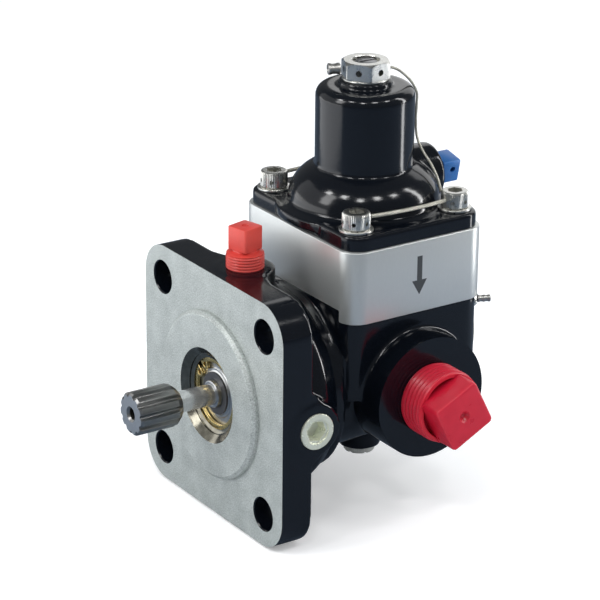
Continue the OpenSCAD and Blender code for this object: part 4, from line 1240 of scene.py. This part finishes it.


# %% [markdown]
# ## Spring and diaphragm
#
# Two sealed pieces change shape. The spring is squeezed from both ends, by the valve and by its seat,
# so it is cut in the middle into two halves. The diaphragm is clamped at its rim and lifted at its
# centre, so it is cut into wedges.

# %% Pieces that change shape
spring_low, spring_high = span("relief_spring")
spring_middle = (spring_low.z + spring_high.z) / 2
for name, outward, moving, at in (("relief_spring_lower", ALONG_Z, "relief", spring_low.z),
                                  ("relief_spring_upper", DOWNWARD, "seat", spring_high.z)):
    half = face_off(copied(name, "relief_spring"), (0, 0, spring_middle), outward)
    install(half, FINISH["spring_steel"], "relief_spring", sharp=50, ride="housing")
    half.parent = None                     # the half is taken off its ride and its place baked into the mesh
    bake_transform(half)
WEDGES = 8
for k in range(WEDGES):
    sides = [TURN * (k + j) / WEDGES for j in (0, 1)]
    wedge = copied(f"diaphragm_wedge_{k}", "diaphragm")
    face_off(wedge, (0, valve_y, 0), (math.sin(sides[0]), -math.cos(sides[0]), 0))
    face_off(wedge, (0, valve_y, 0), (-math.sin(sides[1]), math.cos(sides[1]), 0))
    install(wedge, FINISH["rubber_seal"], "diaphragm", sharp=50, ride="housing")
    wedge.parent = None
    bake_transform(wedge)


# %% [markdown]
# ## Flow mark
#
# The block carries a plain etched arrow that points down. It is a thin film on the metal.

# %% Flow mark
INK = finish("etched_mark", (0.06, 0.065, 0.07), metallic=0.4, roughness=0.5, scale=2200, tone=0.4,
             relief=0.1)
ARROW = [(-1.1, 9), (1.1, 9), (1.1, 0), (3.2, 0), (0, -5.5), (-3.2, 0), (-1.1, 0)]
MARK_THICK = 0.03
MARK_SUNK = 0.01
MARK_Z = 42
bm = bmesh.new()
prism(bm, ARROW, facing_x(block_high.x - MARK_SUNK, valve_y, MARK_Z), MARK_THICK)
install(shape("block_mark", bm), INK, ride="housing", sharp=40)


# %% [markdown]
# ## Counting the set
#
# Every CAD node is either shown with a finish or stood for by a finer piece. The cell counts both.

# %% What is shown
shown = [o for o in scene.objects if o.type == "MESH" and not o.hide_render]
print(len(shown), "pieces shown,", sum(o.hide_render for o in frame["nodes"].values()), "CAD nodes stood for")


# %% [markdown]
# ## Light, floor and camera
#
# Glossy black shows only what it reflects, so light is built from soft boxes: a wall and a low card at
# the left give the calm glow on the tower, narrow ones at the right draw the bright strips, and five
# small ones overhead leave the spots on the dome. The ground is almost white.

# %% Camera
AZIMUTH = math.radians(56.333)
HEIGHT = math.radians(21.648)
ROLL = math.radians(0.548)
DISTANCE = 1005.89
SHIFT_RIGHT = 31.278
SHIFT_UP = 33.472
LENS = 169.36


def way_to(azimuth, elevation):
    """Direction from the pump at an azimuth, measured from the front, and an elevation."""
    flat = math.cos(elevation)
    return Vector((math.sin(azimuth) * flat, -math.cos(azimuth) * flat, math.sin(elevation)))


back = way_to(AZIMUTH, HEIGHT)
level = Vector((math.cos(AZIMUTH), math.sin(AZIMUTH), 0))
upward = back.cross(level)
right = level * math.cos(ROLL) + upward * math.sin(ROLL)
up = upward * math.cos(ROLL) - level * math.sin(ROLL)
spot = (right * SHIFT_RIGHT + up * SHIFT_UP + back * DISTANCE) * MM
lens = bpy.data.cameras.new("camera")
lens.lens = LENS
lens.sensor_width = 36
lens.clip_start = 0.05
lens.clip_end = 20
camera = shown_as("camera", lens)
camera.matrix_world = Matrix(((right.x, up.x, back.x, spot.x), (right.y, up.y, back.y, spot.y),
                              (right.z, up.z, back.z, spot.z), (0, 0, 0, 1)))
scene.camera = camera

# %% Floor, world and lights
SKY_SEEN = 0.60                            # the room is dimmer where metal and enamel mirror it
SKY_MIRRORED = 0.14
FLOOR_MIRRORED = (0.13, 0.17, 0.23, 1)
FLOOR_GLOW = 0.24
MIDDLE = Vector((0.01, 0.045, 0.035))
FLOOR_Z = flange_low.z * MM - 0.0005


def soft_box(name, azimuth, elevation, distance, width, height, power):
    """Area light aimed at the pump from an azimuth measured round from the camera."""
    way = way_to(AZIMUTH + math.radians(azimuth), math.radians(elevation))
    data = bpy.data.lights.new(name, "AREA")
    data.shape = "RECTANGLE"
    data.size = width
    data.size_y = height
    data.energy = power
    shown_as(name, data).matrix_world = aim(MIDDLE + way * distance, way)


soft_box("left_wall", -92, 12, 1.0, 1.5, 1.1, 2.6)
soft_box("left_card", -92, -7, 0.34, 0.5, 0.22, 0.5)
soft_box("left_key", -66, 34, 0.8, 0.22, 0.4, 1.3)
soft_box("right_strip", 98, -8, 0.29, 0.035, 0.24, 0.20)
soft_box("right_tall", 99, 24, 0.7, 0.07, 0.6, 1.6)
soft_box("back_wall", 158, 14, 1.3, 1.0, 1.1, 3.6)
for column in range(5):
    soft_box(f"ceiling_{column}", -78 + 36 * column, 50 + 4 * (column % 2), 0.8, 0.11, 0.11, 0.62)
world = bpy.data.worlds.new("pale_room")
world.use_nodes = True
sky = world.node_tree
ray = node_in(sky, "ShaderNodeLightPath")
dim = node_in(sky, "ShaderNodeMapRange")
dim.inputs["To Min"].default_value = SKY_SEEN
dim.inputs["To Max"].default_value = SKY_MIRRORED
sky.links.new(ray.outputs["Is Glossy Ray"], dim.inputs["Value"])
sky.links.new(dim.outputs[0], sky.nodes["Background"].inputs["Strength"])
sky.nodes["Background"].inputs["Color"].default_value = (0.90, 0.95, 1.0, 1)
scene.world = world
PAPER = finish("paper_ground", (0.93, 0.93, 0.93), roughness=0.9, swing=0.02, scale=60, tone=0.01,
               relief=0.02)
paper = PAPER.node_tree
ray = node_in(paper, "ShaderNodeLightPath")
shade = node_in(paper, "ShaderNodeMix", data_type="RGBA")
shade.inputs[MIX_SECOND].default_value = FLOOR_MIRRORED
ground = paper.nodes["Principled BSDF"].inputs["Base Color"]
paper.links.new(ground.links[0].from_socket, shade.inputs[MIX_FIRST])
paper.links.new(ray.outputs["Is Glossy Ray"], shade.inputs["Factor"])
paper.links.new(shade.outputs[MIX_RESULT], ground)
glow = node_in(paper, "ShaderNodeMath", operation="MULTIPLY")
glow.inputs[1].default_value = FLOOR_GLOW
paper.links.new(ray.outputs["Is Camera Ray"], glow.inputs[0])
paper.links.new(glow.outputs[0], paper.nodes["Principled BSDF"].inputs["Emission Strength"])
paper.nodes["Principled BSDF"].inputs["Emission Color"].default_value = (1, 1, 1, 1)
bm = bmesh.new()
bmesh.ops.create_grid(bm, x_segments=12, y_segments=12, size=4)
floor = mesh_object("floor", bm)
floor.data.transform(Matrix.Translation((0, 0, FLOOR_Z)))
floor.data.materials.append(PAPER)
floor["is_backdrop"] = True
scene.view_settings.view_transform = "Standard"


# %% [markdown]
# ## The last measure
#
# The growth of the dressed pump's box over the CAD box is printed, corner by corner, in millimetres.

# %% Sizes and finish
made_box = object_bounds()
grown = [round((b - a) / MM, 2) for p, q in zip(cad_box, made_box) for a, b in zip(p, q)]
print("box grew by, in mm:", grown)
